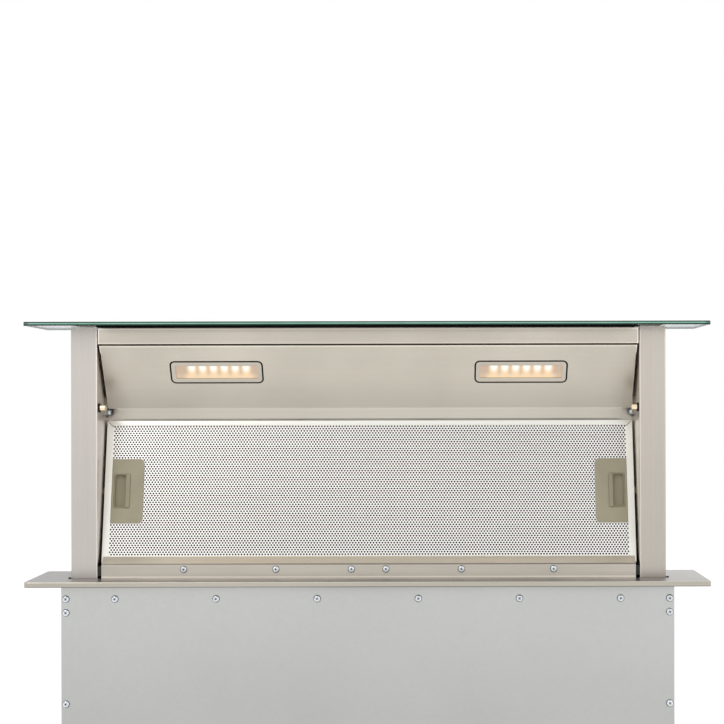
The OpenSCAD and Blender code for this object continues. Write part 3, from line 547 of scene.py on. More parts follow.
    @staticmethod
    def folded(name: str, path: Sequence[Pair], x0: float, x1: float, thickness: float,
               bend: float) -> Piece:
        """Fold a sheet along X.

        Args:
            name: The piece's name.
            path: The outer face's corners as (y, z), with the sheet's thickness on its left.
            x0: Where the sheet starts.
            x1: Where it ends.
            thickness: The sheet's thickness.
            bend: Outer radius of the bends.

        Returns:
            The folded sheet.
        """
        Bench.clear()
        (ya, za), (yb, zb) = path[0], path[1]
        turn = math.atan2(zb - za, yb - ya)
        bpy.ops.mesh.primitive_plane_add(size=1.0, rotation=(turn, 0, 0), location=Vector(
            ((x0 + x1) / 2, (ya + yb) / 2, (za + zb) / 2)) * MM)
        bpy.context.active_object.scale = ((x1 - x0) * MM, math.hypot(yb - ya, zb - za) * MM, 1)
        piece = Bench.settle(name)
        for (y0, z0), (y1, z1) in zip(path[1:], path[2:]):
            Bench.edit(piece, Part.EDGES, lambda at, run: abs(run.x) > 0.9
                       and math.hypot(at.y - y0, at.z - z0) < NEAR)
            Bench.extrude((0, y1 - y0, z1 - z0))
            Bench.done()
        corners = path[1:-1]
        Bench.bevel(piece, bend, 4, lambda at, run: abs(run.x) > 0.9
                    and any(math.hypot(at.y - y, at.z - z) < NEAR for y, z in corners))
        Bench.thicken(piece, thickness)
        return piece


class Groups:
    """Shader nodes that the finishes share, and the groups of their surface patterns."""

    made: Dict[str, Tree] = {}
    sizes = {"brushing": ("Stretch", 60.0), "spangle": ("Size", 0.006), "pebble": ("Scale", 2200.0)}
    levels = ("Tone", "Wear", "Height")

    @classmethod
    def pattern(cls, name: str) -> Tree:
        """Fetch a pattern's group, built on its first use.

        Args:
            name: "brushing", "spangle" or "pebble".

        Returns:
            The group, with Tone, Wear and Height outputs from 0 to 1.
        """
        if name not in cls.made:
            tree = bpy.data.node_groups.new(name, "ShaderNodeTree")
            tree.interface.new_socket("Vector", in_out="INPUT", socket_type="NodeSocketVector")
            key, value = cls.sizes[name]
            size = tree.interface.new_socket(key, in_out="INPUT", socket_type="NodeSocketFloat")
            size.default_value = value
            for level in cls.levels:
                tree.interface.new_socket(level, in_out="OUTPUT", socket_type="NodeSocketFloat")
            entry, out = tree.nodes.new("NodeGroupInput"), tree.nodes.new("NodeGroupOutput")
            made = getattr(cls, name)(tree, entry.outputs["Vector"], entry.outputs[key])
            for level, value in zip(cls.levels, made):
                tree.links.new(value, out.inputs[level])
            cls.made[name] = tree
        return cls.made[name]

    @staticmethod
    def noise(tree: Tree, vector: Socket, scale: float, detail: float, rough: float = 0.5) -> Node:
        """Add a noise texture that reads a vector.

        Args:
            tree: The tree.
            vector: What it reads.
            scale: Its scale.
            detail: Its detail.
            rough: Its roughness.

        Returns:
            The texture node.
        """
        node = tree.nodes.new("ShaderNodeTexNoise")
        for key, value in (("Scale", scale), ("Detail", detail), ("Roughness", rough)):
            node.inputs[key].default_value = value
        tree.links.new(vector, node.inputs["Vector"])
        return node

    @staticmethod
    def math(tree: Tree, operation: str, *values: object) -> Socket:
        """Add a Math node.

        Args:
            tree: The tree.
            operation: Its operation.
            *values: Its values in turn, numbers or sockets.

        Returns:
            The node's output.
        """
        node = tree.nodes.new("ShaderNodeMath")
        node.operation = operation
        for entry, value in zip(node.inputs, values):
            if isinstance(value, Socket):
                tree.links.new(value, entry)
            else:
                entry.default_value = value
        return node.outputs[0]

    @staticmethod
    def off(tree: Tree, value: Socket, place: float = 0.0) -> Socket:
        """How far a value lies from a place, on either side."""
        return Groups.math(tree, "ABSOLUTE", Groups.math(tree, "SUBTRACT", value, place))

    @staticmethod
    def add(tree: Tree, first: Socket, share: float, second: Socket, rest: float) -> Socket:
        """Add two values by their shares."""
        part = Groups.math(tree, "MULTIPLY_ADD", first, share, 0.0)
        return Groups.math(tree, "MULTIPLY_ADD", second, rest, part)

    @staticmethod
    def ramp(tree: Tree, value: Socket, low: float, high: float, to_low: float = 0.0,
             to_high: float = 1.0) -> Socket:
        """Map a value's range smoothly to another.

        Args:
            tree: The tree.
            value: The value.
            low: Its lower end.
            high: Its upper end.
            to_low: What the lower end becomes.
            to_high: What the upper end becomes.

        Returns:
            The mapped value.
        """
        node = tree.nodes.new("ShaderNodeMapRange")
        node.interpolation_type = "SMOOTHSTEP"
        tree.links.new(value, node.inputs["Value"])
        ends = {"From Min": low, "From Max": high, "To Min": to_low, "To Max": to_high}
        for key, number in ends.items():
            node.inputs[key].default_value = number
        return node.outputs[0]

    @staticmethod
    def mix(tree: Tree, mask: Socket, low: object, high: Triple) -> Socket:
        """Go from one colour to another.

        Args:
            tree: The tree.
            mask: How far, 0 to 1.
            low: First colour, given or a socket.
            high: Second colour.

        Returns:
            The colour.
        """
        node = tree.nodes.new("ShaderNodeMix")
        node.data_type = "RGBA"
        tree.links.new(mask, node.inputs["Factor"])
        if isinstance(low, Socket):
            tree.links.new(low, node.inputs["A"])
        else:
            node.inputs["A"].default_value = (*low, 1.0)
        node.inputs["B"].default_value = (*high, 1.0)
        return node.outputs["Result"]

    @staticmethod
    def grey(tree: Tree, value: Socket) -> Socket:
        """Make a grey of a value.

        Args:
            tree: The tree.
            value: How light it is.

        Returns:
            The colour.
        """
        node = tree.nodes.new("ShaderNodeCombineColor")
        for key in ("Red", "Green", "Blue"):
            tree.links.new(value, node.inputs[key])
        return node.outputs[0]

    @staticmethod
    def bump(tree: Tree, height: Socket, strength: float, distance: float) -> Socket:
        """Add a Bump node.

        Args:
            tree: The tree.
            height: The height that it reads.
            strength: Its strength.
            distance: Its distance in metres.

        Returns:
            The bumped normal.
        """
        node = tree.nodes.new("ShaderNodeBump")
        node.inputs["Strength"].default_value = strength
        node.inputs["Distance"].default_value = distance
        tree.links.new(height, node.inputs["Height"])
        return node.outputs[0]

    @staticmethod
    def places(tree: Tree, mapping: Optional[Node] = None) -> Node:
        """Split the piece's own coordinates.

        Args:
            tree: The tree.
            mapping: A Mapping node that they go through first.

        Returns:
            The Separate XYZ node.
        """
        own = tree.nodes.new("ShaderNodeTexCoord").outputs["Object"]
        if mapping:
            tree.links.new(own, mapping.inputs["Vector"])
            own = mapping.outputs[0]
        split = tree.nodes.new("ShaderNodeSeparateXYZ")
        tree.links.new(own, split.inputs[0])
        return split

    @staticmethod
    def seen(tree: Tree) -> Socket:
        """Whether the camera, gloss or glass looks.

        Args:
            tree: The world's or a material's tree.

        Returns:
            1 where one of them does, else 0.
        """
        path = tree.nodes.new("ShaderNodeLightPath").outputs
        seen = Groups.math(tree, "MAXIMUM", path["Is Camera Ray"], path["Is Glossy Ray"])
        return Groups.math(tree, "MAXIMUM", seen, path["Is Transmission Ray"])

    @classmethod
    def brushing(cls, tree: Tree, vector: Socket, stretch: Socket) -> Tuple[Socket, ...]:
        """Fine parallel scratches along the vector's X, with faint broad streaks.

        Args:
            tree: The group.
            vector: Its vector.
            stretch: How many times longer than wide the scratches are.

        Returns:
            Tone, wear and height.
        """
        join = tree.nodes.new("ShaderNodeCombineXYZ")
        join.inputs["Y"].default_value = join.inputs["Z"].default_value = 1.0
        tree.links.new(cls.math(tree, "DIVIDE", 1.0, stretch), join.inputs["X"])
        shrink = tree.nodes.new("ShaderNodeVectorMath")
        shrink.operation = "MULTIPLY"
        tree.links.new(vector, shrink.inputs[0])
        tree.links.new(join.outputs[0], shrink.inputs[1])
        fine = cls.noise(tree, shrink.outputs[0], 2600.0, 3.0, 0.6).outputs["Fac"]
        broad = cls.noise(tree, shrink.outputs[0], 240.0, 2.0).outputs["Fac"]
        cloud = cls.noise(tree, vector, 7.0, 3.0).outputs["Fac"]
        tone = cls.ramp(tree, cls.add(tree, fine, 0.55, broad, 0.45), 0.3, 0.7)
        return tone, cls.ramp(tree, cloud, 0.35, 0.7), fine

    @classmethod
    def spangle(cls, tree: Tree, vector: Socket, size: Socket) -> Tuple[Socket, ...]:
        """Zinc crystals of a galvanised sheet, with dull clouds.

        Args:
            tree: The group.
            vector: Its vector.
            size: A crystal's size in metres.

        Returns:
            Tone, wear and height.
        """
        shift = tree.nodes.new("ShaderNodeVectorMath")
        shift.operation = "MULTIPLY_ADD"
        tree.links.new(cls.noise(tree, vector, 90.0, 3.0).outputs["Color"], shift.inputs[0])
        shift.inputs[1].default_value = (0.004, 0.004, 0.004)
        tree.links.new(vector, shift.inputs[2])
        cells = tree.nodes.new("ShaderNodeTexVoronoi")
        tree.links.new(shift.outputs[0], cells.inputs["Vector"])
        tree.links.new(cls.math(tree, "DIVIDE", 1.0, size), cells.inputs["Scale"])
        split = tree.nodes.new("ShaderNodeSeparateColor")
        tree.links.new(cells.outputs["Color"], split.inputs[0])
        cloud = cls.noise(tree, vector, 5.0, 4.0).outputs["Fac"]
        feather = cls.noise(tree, vector, 700.0, 3.0).outputs["Fac"]
        tone = cls.add(tree, feather, 0.35, split.outputs[0], 0.65)
        return tone, cls.ramp(tree, cloud, 0.35, 0.68), feather

    @classmethod
    def pebble(cls, tree: Tree, vector: Socket, scale: Socket) -> Tuple[Socket, ...]:
        """The fine grain of moulded, cast or painted surfaces, with faint handling marks.

        Args:
            tree: The group.
            vector: Its vector.
            scale: The grain's scale.

        Returns:
            Tone, wear and height.
        """
        grain = cls.noise(tree, vector, 2200.0, 2.0)
        tree.links.new(scale, grain.inputs["Scale"])
        soft = cls.noise(tree, vector, 38.0, 3.0).outputs["Fac"]
        marks = cls.noise(tree, vector, 11.0, 4.0, 0.6).outputs["Fac"]
        return cls.ramp(tree, soft, 0.3, 0.7), cls.ramp(tree, marks, 0.45, 0.7), grain.outputs["Fac"]


@dataclass(frozen=True)
class Tint:
    """Painted highlights and shade: where a finish is painted lighter or darker along one axis, in
    millimetres.

    From start to end the colour goes over to gain times itself. As a band it does so only
    within end of start. Along x it is the same on both sides of the hood, and a reach above 0
    keeps it within that distance of the hood's middle.
    """

    axis: str
    start: float
    end: float
    gain: float
    band: bool = False
    reach: float = 0.0

    def mask(self, tree: Tree, places: Node) -> Socket:
        """Build the factor of the painted light.

        Args:
            tree: The material's tree.
            places: Separate XYZ node of the piece's coordinates.

        Returns:
            The factor that the colour is multiplied by.
        """
        at, start, end = places.outputs[self.axis.upper()], self.start * MM, self.end * MM
        if self.axis == "x":
            at = Groups.off(tree, at)
        if self.band:
            factor = Groups.ramp(tree, Groups.off(tree, at, start), end * 0.35, end, self.gain, 1.0)
        elif end > start:
            factor = Groups.ramp(tree, at, start, end, 1.0, self.gain)
        else:
            factor = Groups.ramp(tree, at, end, start, self.gain, 1.0)
        if self.reach:
            side = Groups.off(tree, places.outputs["X"])
            near = Groups.ramp(tree, side, self.reach * MM, (self.reach + 2.0) * MM, 1.0, 0.0)
            change = Groups.math(tree, "SUBTRACT", factor, 1.0)
            factor = Groups.math(tree, "MULTIPLY_ADD", change, near, 1.0)
        return factor


@dataclass(frozen=True)
class Finish:
    """A finish: its colour, gloss and surface pattern."""

    name: str
    colour: Triple
    metallic: float = 1.0
    rough: Pair = (0.28, 0.38)
    spread: float = 0.05
    wear: float = 0.04
    bump: float = 0.06
    depth: float = 0.00004
    pattern: str = "brushing"
    turn: Triple = (0.0, 0.0, 0.0)
    scale: Dict[str, float] = field(default_factory=dict)
    coat: float = 0.0
    specular: float = 0.5
    painted_lights: Tuple[Tint, ...] = ()

    def material(self) -> Material:
        """Fetch the finish's material, built on its first use.

        Returns:
            The material.
        """
        known = bpy.data.materials.get(self.name)
        if known:
            return known
        material = bpy.data.materials.new(self.name)
        material.use_nodes = True
        material.diffuse_color = (*self.colour, 1.0)
        shader = material.node_tree.nodes["Principled BSDF"]
        shader.inputs["Metallic"].default_value = self.metallic
        shader.inputs["Coat Weight"].default_value = self.coat
        shader.inputs["Coat Roughness"].default_value = 0.15
        shader.inputs["Specular IOR Level"].default_value = self.specular
        self.fill(material.node_tree, shader.inputs)
        return material

    def fill(self, tree: Tree, shader: Inputs) -> None:
        """Give the shader its colour, roughness and normal.

        Args:
            tree: The material's tree.
            shader: The inputs of its Principled shader.
        """
        group = self.surface(tree)
        tree.links.new(self.shade(tree, group), shader["Base Color"])
        dull = Groups.add(tree, group["Wear"], 0.6, group["Tone"], 0.4)
        tree.links.new(Groups.ramp(tree, dull, 0.0, 1.0, *self.rough), shader["Roughness"])
        tree.links.new(Groups.bump(tree, group["Height"], self.bump, self.depth), shader["Normal"])

    def surface(self, tree: Tree) -> Inputs:
        """Place the pattern's group on the piece's own coordinates.

        Args:
            tree: The material's tree.

        Returns:
            The outputs of the group's node.
        """
        coords = tree.nodes.new("ShaderNodeTexCoord")
        mapping = tree.nodes.new("ShaderNodeMapping")
        mapping.inputs["Rotation"].default_value = [math.radians(a) for a in self.turn]
        group = tree.nodes.new("ShaderNodeGroup")
        group.node_tree = Groups.pattern(self.pattern)
        for key, value in self.scale.items():
            group.inputs[key].default_value = value
        tree.links.new(coords.outputs["Object"], mapping.inputs["Vector"])
        tree.links.new(mapping.outputs[0], group.inputs["Vector"])
        return group.outputs

    def shade(self, tree: Tree, group: Inputs) -> Socket:
        """Vary the colour with the pattern and with the painted highlights and shade.

        Args:
            tree: The material's tree.
            group: The outputs of the pattern's node.

        Returns:
            The colour.
        """
        light = Groups.math(tree, "MULTIPLY_ADD", group["Tone"], 2 * self.spread, 1.0 - self.spread)
        light = Groups.math(tree, "MULTIPLY_ADD", group["Wear"], -self.wear, light)
        if self.painted_lights:
            places = Groups.places(tree)
            for light_mark in self.painted_lights:
                light = Groups.math(tree, "MULTIPLY", light, light_mark.mask(tree, places))
        node = tree.nodes.new("ShaderNodeMix")
        node.data_type = "RGBA"
        node.blend_type = "MULTIPLY"
        node.inputs["Factor"].default_value = 1.0
        node.inputs["A"].default_value = (*self.colour, 1.0)
        tree.links.new(Groups.grey(tree, light), node.inputs["B"])
        return node.outputs["Result"]


@dataclass(frozen=True)
class Moulded(Finish):
    """A finish that isn't metal, with a fine pebbled grain."""

    metallic: float = 0.0
    pattern: str = "pebble"


@dataclass(frozen=True)
class EdgeGlass(Moulded):
    """The polished edge of float glass: green, with painted shade darkening its two arrises."""

    low: float = 336.0
    high: float = 339.3
    # Colour of the painted shade along the arrises.
    arris: Triple = (0.006, 0.03, 0.022)

    def fill(self, tree: Tree, shader: Inputs) -> None:
        """Give the edge its light core between the two arrises painted dark as shade.

        Args:
            tree: The material's tree.
            shader: The inputs of its Principled shader.
        """
        colour = self.shade(tree, self.surface(tree))
        middle, half = (self.low + self.high) / 2 * MM, (self.high - self.low) / 2 * MM
        off = Groups.off(tree, Groups.places(tree).outputs["Z"], middle)
        mask = Groups.ramp(tree, off, half * 0.28, half * 0.8)
        tree.links.new(Groups.mix(tree, mask, colour, self.arris), shader["Base Color"])
        tree.links.new(Groups.ramp(tree, mask, 0.0, 1.0, *self.rough), shader["Roughness"])


@dataclass(frozen=True)
class ClearGlass(Moulded):
    """The faces of the glass top, faintly green with smudges."""

    ior: float = 1.5

    def fill(self, tree: Tree, shader: Inputs) -> None:
        """Let light through, with a smudged gloss.

        Args:
            tree: The material's tree.
            shader: The inputs of its Principled shader.
        """
        shader["Transmission Weight"].default_value = 1.0
        shader["IOR"].default_value = self.ior
        group = self.surface(tree)
        tree.links.new(self.shade(tree, group), shader["Base Color"])
        tree.links.new(Groups.ramp(tree, group["Wear"], 0.2, 1.0, *self.rough), shader["Roughness"])


@dataclass(frozen=True)
class LampGlow(Moulded):
    """A lamp's window with its row of diodes shining through near the top."""

    side: Side = Side.RIGHT
    shift: float = 0.0
    pitch: float = 14.3
    count: int = 6
    shade_colour: Triple = (0.56, 0.42, 0.31)
    glow: Triple = (1.0, 0.74, 0.46)
    core: Triple = (1.0, 1.0, 0.96)

    @staticmethod
    def spot(tree: Tree, across: Socket, down: Socket, middle: float, half: Pair, edge: Pair) -> Socket:
        """A soft oval patch of light.

        Args:
            tree: The material's tree.
            across: Distance from the nearest diode's middle.
            down: Distance below the window's top.
            middle: How far down the patch's middle lies.
            half: Half its width and height.
            edge: Where it starts and ends to fade, in shares of its size.

        Returns:
            The patch, 1 at its middle.
        """
        u = Groups.math(tree, "DIVIDE", across, half[0] * MM)
        v = Groups.math(tree, "DIVIDE", Groups.math(tree, "SUBTRACT", down, middle * MM), half[1] * MM)
        square = Groups.math(tree, "ADD", Groups.math(tree, "MULTIPLY", u, u),
                             Groups.math(tree, "MULTIPLY", v, v))
        return Groups.ramp(tree, Groups.math(tree, "SQRT", square), edge[0], edge[1], 1.0, 0.0)

    def fill(self, tree: Tree, shader: Inputs) -> None:
        """Light the window with a halo and a core at each diode, over a glowing foot.

        Args:
            tree: The material's tree.
            shader: The inputs of its Principled shader.
        """
        mapping = tree.nodes.new("ShaderNodeMapping")
        mapping.vector_type = "TEXTURE"
        mapping.inputs["Location"].default_value = LAYOUT.panel_frame @ Vector(
            (self.side.value * LAYOUT.lamp_x * MM, 0, -LAYOUT.lamp_down * MM))
        mapping.inputs["Rotation"].default_value = (LAYOUT.panel_lean, 0, 0)
        places = Groups.places(tree, mapping).outputs
        down = Groups.math(tree, "SUBTRACT", LAYOUT.lamp_window[1] / 2 * MM, places["Z"])
        across = Groups.math(tree, "SUBTRACT", places["X"], self.shift * MM)
        cell = Groups.math(tree, "DIVIDE", across, self.pitch * MM)
        cell = Groups.math(tree, "ADD", cell, 40.5 + 0.5 * ((self.count + 1) % 2))
        cell = Groups.math(tree, "SUBTRACT", Groups.math(tree, "FRACT", cell), 0.5)
        reach = Groups.math(tree, "MULTIPLY", cell, self.pitch * MM)
        side, far = self.pitch * self.count / 2, Groups.off(tree, across)
        inside = Groups.ramp(tree, far, (side - 1) * MM, (side + 2) * MM, 1.0, 0.0)
        halo = self.spot(tree, reach, down, 5, (8, 15), (0.3, 1.2))
        core = self.spot(tree, reach, down, 2.0, (5.4, 9.5), (0.45, 1.1))
        foot = Groups.math(tree, "MULTIPLY", Groups.ramp(tree, down, 0.009, 0.018, 0.0, 0.8),
                           Groups.ramp(tree, far, (side - 2) * MM, (side + 6) * MM, 1.0, 0.3))
        halo, core = (Groups.math(tree, "MULTIPLY", inside, patch) for patch in (halo, core))
        colour = Groups.mix(tree, halo, self.shade_colour, self.glow)
        colour = Groups.mix(tree, foot, colour, self.glow)
        colour = Groups.mix(tree, core, colour, self.core)
        tree.links.new(colour, shader["Emission Color"])
        shader["Emission Strength"].default_value = 0.92
        shader["Base Color"].default_value = (0.1, 0.08, 0.06, 1.0)
        shader["Roughness"].default_value = 0.35


@dataclass(frozen=True)
class Expanded(Finish):
    """Layers of expanded metal: diamond openings painted near black as the shade seen through them."""

    gap_shade: Triple = (0.006, 0.005, 0.005)
    layers: Tuple[Pair, ...] = ((34.0, 0.0042), (-34.0, 0.0042), (12.0, 0.0057))

    def fill(self, tree: Tree, shader: Inputs) -> None:
        """Lay the wires' layers over the painted shade of the gaps.

        Args:
            tree: The material's tree.
            shader: The inputs of its Principled shader.
        """
        waves: List[Socket] = []
        for turn, pitch in self.layers:
            mapping = tree.nodes.new("ShaderNodeMapping")
            mapping.inputs["Rotation"].default_value = (0, math.radians(turn), 0)
            mapping.inputs["Scale"].default_value = (1 / pitch, 0.0, 0.0)
            along = Groups.places(tree, mapping).outputs["X"]
            waves.append(Groups.ramp(tree, Groups.math(tree, "PINGPONG", along, 1.0), 0.62, 0.86))
        wires = Groups.math(tree, "MAXIMUM", waves[0], waves[1])
        wires = Groups.math(tree, "MAXIMUM", wires, Groups.math(tree, "MULTIPLY", waves[2], 0.4))
        tree.links.new(Groups.mix(tree, wires, self.gap_shade, self.colour), shader["Base Color"])
        tree.links.new(wires, shader["Metallic"])
        tree.links.new(Groups.ramp(tree, wires, 0.0, 1.0, 0.9, 0.4), shader["Roughness"])
        tree.links.new(Groups.bump(tree, wires, 0.8, 0.0008), shader["Normal"])


@dataclass(frozen=True)
class CircuitBoard(Moulded):
    """Coated circuit board with faint copper tracks."""

    track: Triple = (0.30, 0.24, 0.10)

    def fill(self, tree: Tree, shader: Inputs) -> None:
        """Lay the tracks over the coating.

        Args:
            tree: The material's tree.
            shader: The inputs of its Principled shader.
        """
        group = self.surface(tree)
        coords = tree.nodes.new("ShaderNodeTexCoord")
        brick = tree.nodes.new("ShaderNodeTexBrick")
        brick.inputs["Scale"].default_value = 180.0
        brick.inputs["Mortar Size"].default_value = 0.06
        tree.links.new(coords.outputs["Object"], brick.inputs["Vector"])
        colour = Groups.mix(tree, brick.outputs["Fac"], self.shade(tree, group), self.track)
        tree.links.new(colour, shader["Base Color"])
        tree.links.new(Groups.ramp(tree, group["Wear"], 0.0, 1.0, *self.rough), shader["Roughness"])


class Finishes:
    """Every finish of the hood."""

    upright = (0.0, 90.0, 0.0)
    # Painted light on the trim's lip: a painted shadow line along its foot and a painted highlight along its
    # top edge.
    TRIM = Finish("worktop trim steel", (0.485, 0.454, 0.392), rough=(0.3, 0.42), bump=0.05,
                  painted_lights=(Tint("z", 0.2, 0.9, 0.3, True), Tint("z", 6.6, 0.8, 1.15, True)))
    # The trim's top faces: the same steel painted darker as shade, with painted highlights along the slot's
    # edge and the front edge.
    TRIM_TOP_PAINTED_LIGHT = Finish("worktop trim steel, top", (0.305, 0.298, 0.284), rough=(0.3, 0.42), bump=0.05,
                      painted_lights=(Tint("y", -26.0, 5.0, 1.8, True, 352.0), Tint("y", -57.5, 3.0, 1.25, True)))
    # Painted light on the rail: the ledge's top painted lighter, a painted shadow line under the ledge's
    # nose, lighter towards the top, and a painted highlight line near the foot.
    RAIL = Finish("brushed steel, along", (0.525, 0.485, 0.427), bump=0.05, painted_lights=(
        Tint("z", 25.4, 26.2, 1.7), Tint("z", 24.8, 1.1, 0.5, True), Tint("z", 22.0, 9.0, 1.22),
        Tint("z", 8.4, 1.5, 1.45, True)))
    # Painted light on the header: lighter towards its top against the glass's shade, and painted highlight
    # lines along its top and bottom bends and at its two ends.
    HEADER = Finish("header steel", (0.635, 0.585, 0.51), bump=0.05, painted_lights=(
        Tint("z", 318.0, 332.0, 1.18), Tint("z", 331.8, 1.5, 1.4, True), Tint("z", 312.6, 1.5, 1.3, True),
        Tint("x", 352.9, 2.2, 1.5, True)))
    # Painted light on the lamp panel: darker towards its foot, a faint painted highlight at the foot's edge,
    # darker towards its sides and more so near its ends, and painted highlight lines along its top edge and
    # side folds.
    PANEL = Finish("lamp panel steel", (0.632, 0.592, 0.515), rough=(0.36, 0.46), spread=0.025, bump=0.03,
                   painted_lights=(Tint("z", 278.0, 230.0, 0.89), Tint("z", 228.4, 227.6, 1.02),
                          Tint("x", 170.0, 290.0, 0.93), Tint("x", 315.0, 352.0, 0.88),
                          Tint("z", 309.6, 1.6, 1.3, True), Tint("x", 350.8, 1.6, 1.35, True)))
    LAMP_FRAME = Finish("lamp frame steel", (0.56, 0.52, 0.45), rough=(0.3, 0.4), spread=0.02, bump=0.03)
    # Painted shade: the lamp case is near black with almost no gloss so the gap round each lamp frame reads
    # as a dark shadow line.
    LAMP_CASE = Finish("dark lamp case", (0.010, 0.004, 0.002), metallic=0.0, rough=(0.6, 0.8),
                       pattern="pebble", specular=0.02)
    # Painted light on the columns: a painted highlight line along the inner edge, and darker towards the top
    # where the glass shades them. The right column is a darker copy of the same steel: painted shade.
    COLUMN = Finish("column steel, upright grain", (0.614, 0.572, 0.536), turn=upright, spread=0.03,
                    bump=0.05, painted_lights=(Tint("x", 353.9, 2.6, 1.35, True), Tint("z", 300.0, 10.0, 0.9)))
    COLUMN_RIGHT_SHADED = Finish("right column steel, upright grain", (0.573, 0.53, 0.476), turn=upright,
                          spread=0.03, bump=0.05, painted_lights=(Tint("x", 353.9, 2.6, 1.35, True),
                                                         Tint("z", 300.0, 10.0, 0.85)))
    BACK = Finish("back panel steel", (0.55, 0.52, 0.47), bump=0.05)
    # Painted shade: the galvanised sheet is painted darker towards the bottom.
    GALVANISED = Finish("galvanised sheet", (0.527, 0.534, 0.519), rough=(0.38, 0.48), spread=0.024,
                        wear=0.02, bump=0.03, pattern="spangle", scale={"Size": 0.004},
                        painted_lights=(Tint("z", -12.0, -190.0, 0.885),))
    ZINC = Finish("bright zinc", (0.66, 0.69, 0.72), rough=(0.16, 0.28), spread=0.05, pattern="pebble",
                  scale={"Scale": 900.0}, bump=0.03)
    BRASS = Finish("turned brass", (0.92, 0.78, 0.56), rough=(0.14, 0.25), spread=0.08,
                   turn=(0.0, 0.0, 90.0), scale={"Stretch": 30.0})
    ALLOY = Finish("filter aluminium", (0.80, 0.79, 0.735), rough=(0.3, 0.42), spread=0.02, bump=0.03)
    PERFORATED = Finish("perforated aluminium", (0.915, 0.892, 0.868), rough=(0.32, 0.45), spread=0.03,
                        bump=0.03)
    SCROLL = Finish("pressed aluminium", (0.6, 0.61, 0.62), rough=(0.3, 0.45), pattern="pebble",
                    scale={"Scale": 600.0})
    # Painted shade: the walls of the punched holes are near black so the holes read dark.
    PUNCHED = Finish("punched hole walls", (0.05, 0.045, 0.04), metallic=0.0, rough=(0.6, 0.8),
                     pattern="pebble", specular=0.1)
    # Painted shade: the drip tray is painted much darker near its two ends.
    TRAY = Finish("drip tray sheet", (0.4, 0.41, 0.4), rough=(0.38, 0.48), spread=0.02, wear=0.02,
                  bump=0.03, pattern="spangle", painted_lights=(Tint("x", 344.0, 349.0, 0.12),))
    # Painted shade: the core's wires are painted near black so the perforated sheet's holes read dark.
    CORE = Expanded("expanded metal", (0.03, 0.027, 0.025))
    LATCH = Finish("olive grey plastic", (0.35, 0.317, 0.222), metallic=0.0, rough=(0.42, 0.55),
                   spread=0.04, bump=0.18, pattern="pebble")
    SLIDER = Finish("olive grey plastic, slider", (0.31, 0.275, 0.18), metallic=0.0, rough=(0.42, 0.55),
                    spread=0.04, bump=0.18, pattern="pebble")
    BLACK_PLASTIC = Finish("black moulded plastic", (0.022, 0.022, 0.023), metallic=0.0,
                           rough=(0.38, 0.55), spread=0.12, bump=0.25, pattern="pebble",
                           scale={"Scale": 1500.0})
    RUBBER = Finish("black rubber", (0.012, 0.012, 0.012), metallic=0.0, rough=(0.6, 0.8), spread=0.15,
                    bump=0.2, pattern="pebble", specular=0.3)
    # A matt black seal under the glass, kept near black and almost glossless so the gap between glass and
    # header reads as a shadow: partly real seal, partly painted shade.
    PRINT = Finish("matt black seal", (0.003, 0.003, 0.003), metallic=0.0, rough=(0.85, 0.95),
                   spread=0.1, bump=0.1, pattern="pebble", specular=0.03)
    PAINT = Finish("black painted steel", (0.028, 0.028, 0.03), metallic=0.0, rough=(0.3, 0.42),
                   spread=0.1, bump=0.12, pattern="pebble", scale={"Scale": 700.0}, coat=0.2)
    GLASS = ClearGlass("clear glass", (0.8, 0.93, 0.88), metallic=0.0, rough=(0.0, 0.04), spread=0.01,
                       wear=0.02, pattern="pebble")
    # Painted reflection: the underside is a grey copy of the glass, painted darker from front to back,
    # standing for the grey reflection seen on it.
    GLASS_UNDER = ClearGlass("glass underside", (0.86, 0.86, 0.89), metallic=0.0, rough=(0.02, 0.06),
                             spread=0.01, wear=0.02, pattern="pebble", specular=0.02, ior=1.016,
                             painted_lights=(Tint("y", -52.0, 56.0, 0.8),))
    # Painted shade: the edge is painted darker towards the glass's ends, standing for the dark refraction at
    # the rounded corners.
    GLASS_EDGE = EdgeGlass("polished glass edge", (0.25, 0.5, 0.39), metallic=0.0, rough=(0.12, 0.3),
                           spread=0.06, pattern="pebble", specular=0.25,
                           painted_lights=(Tint("x", 431.0, 436.0, 0.4),))
    LEFT_GLOW = LampGlow("left lamp window", (0.9, 0.75, 0.55), side=Side.LEFT, shift=3.0)
    RIGHT_GLOW = LampGlow("right lamp window", (0.9, 0.75, 0.55))
    LAMP_BOARD = CircuitBoard("white lamp board", (0.85, 0.82, 0.72), metallic=0.0, rough=(0.25, 0.4),
                              pattern="pebble")
    CONTROL_BOARD = CircuitBoard("green control board", (0.03, 0.16, 0.06), metallic=0.0,
                                 rough=(0.25, 0.4), pattern="pebble")
    ZINC_DOME = Finish("bright zinc, domed head", (0.80, 0.84, 0.87), metallic=0.35, rough=(0.25, 0.35),
                       spread=0.05, pattern="pebble", scale={"Scale": 900.0}, bump=0.03)
    SHADOW = Finish("dark screw recess", (0.035, 0.075, 0.09), metallic=0.0, rough=(0.6, 0.8),
                    pattern="pebble")


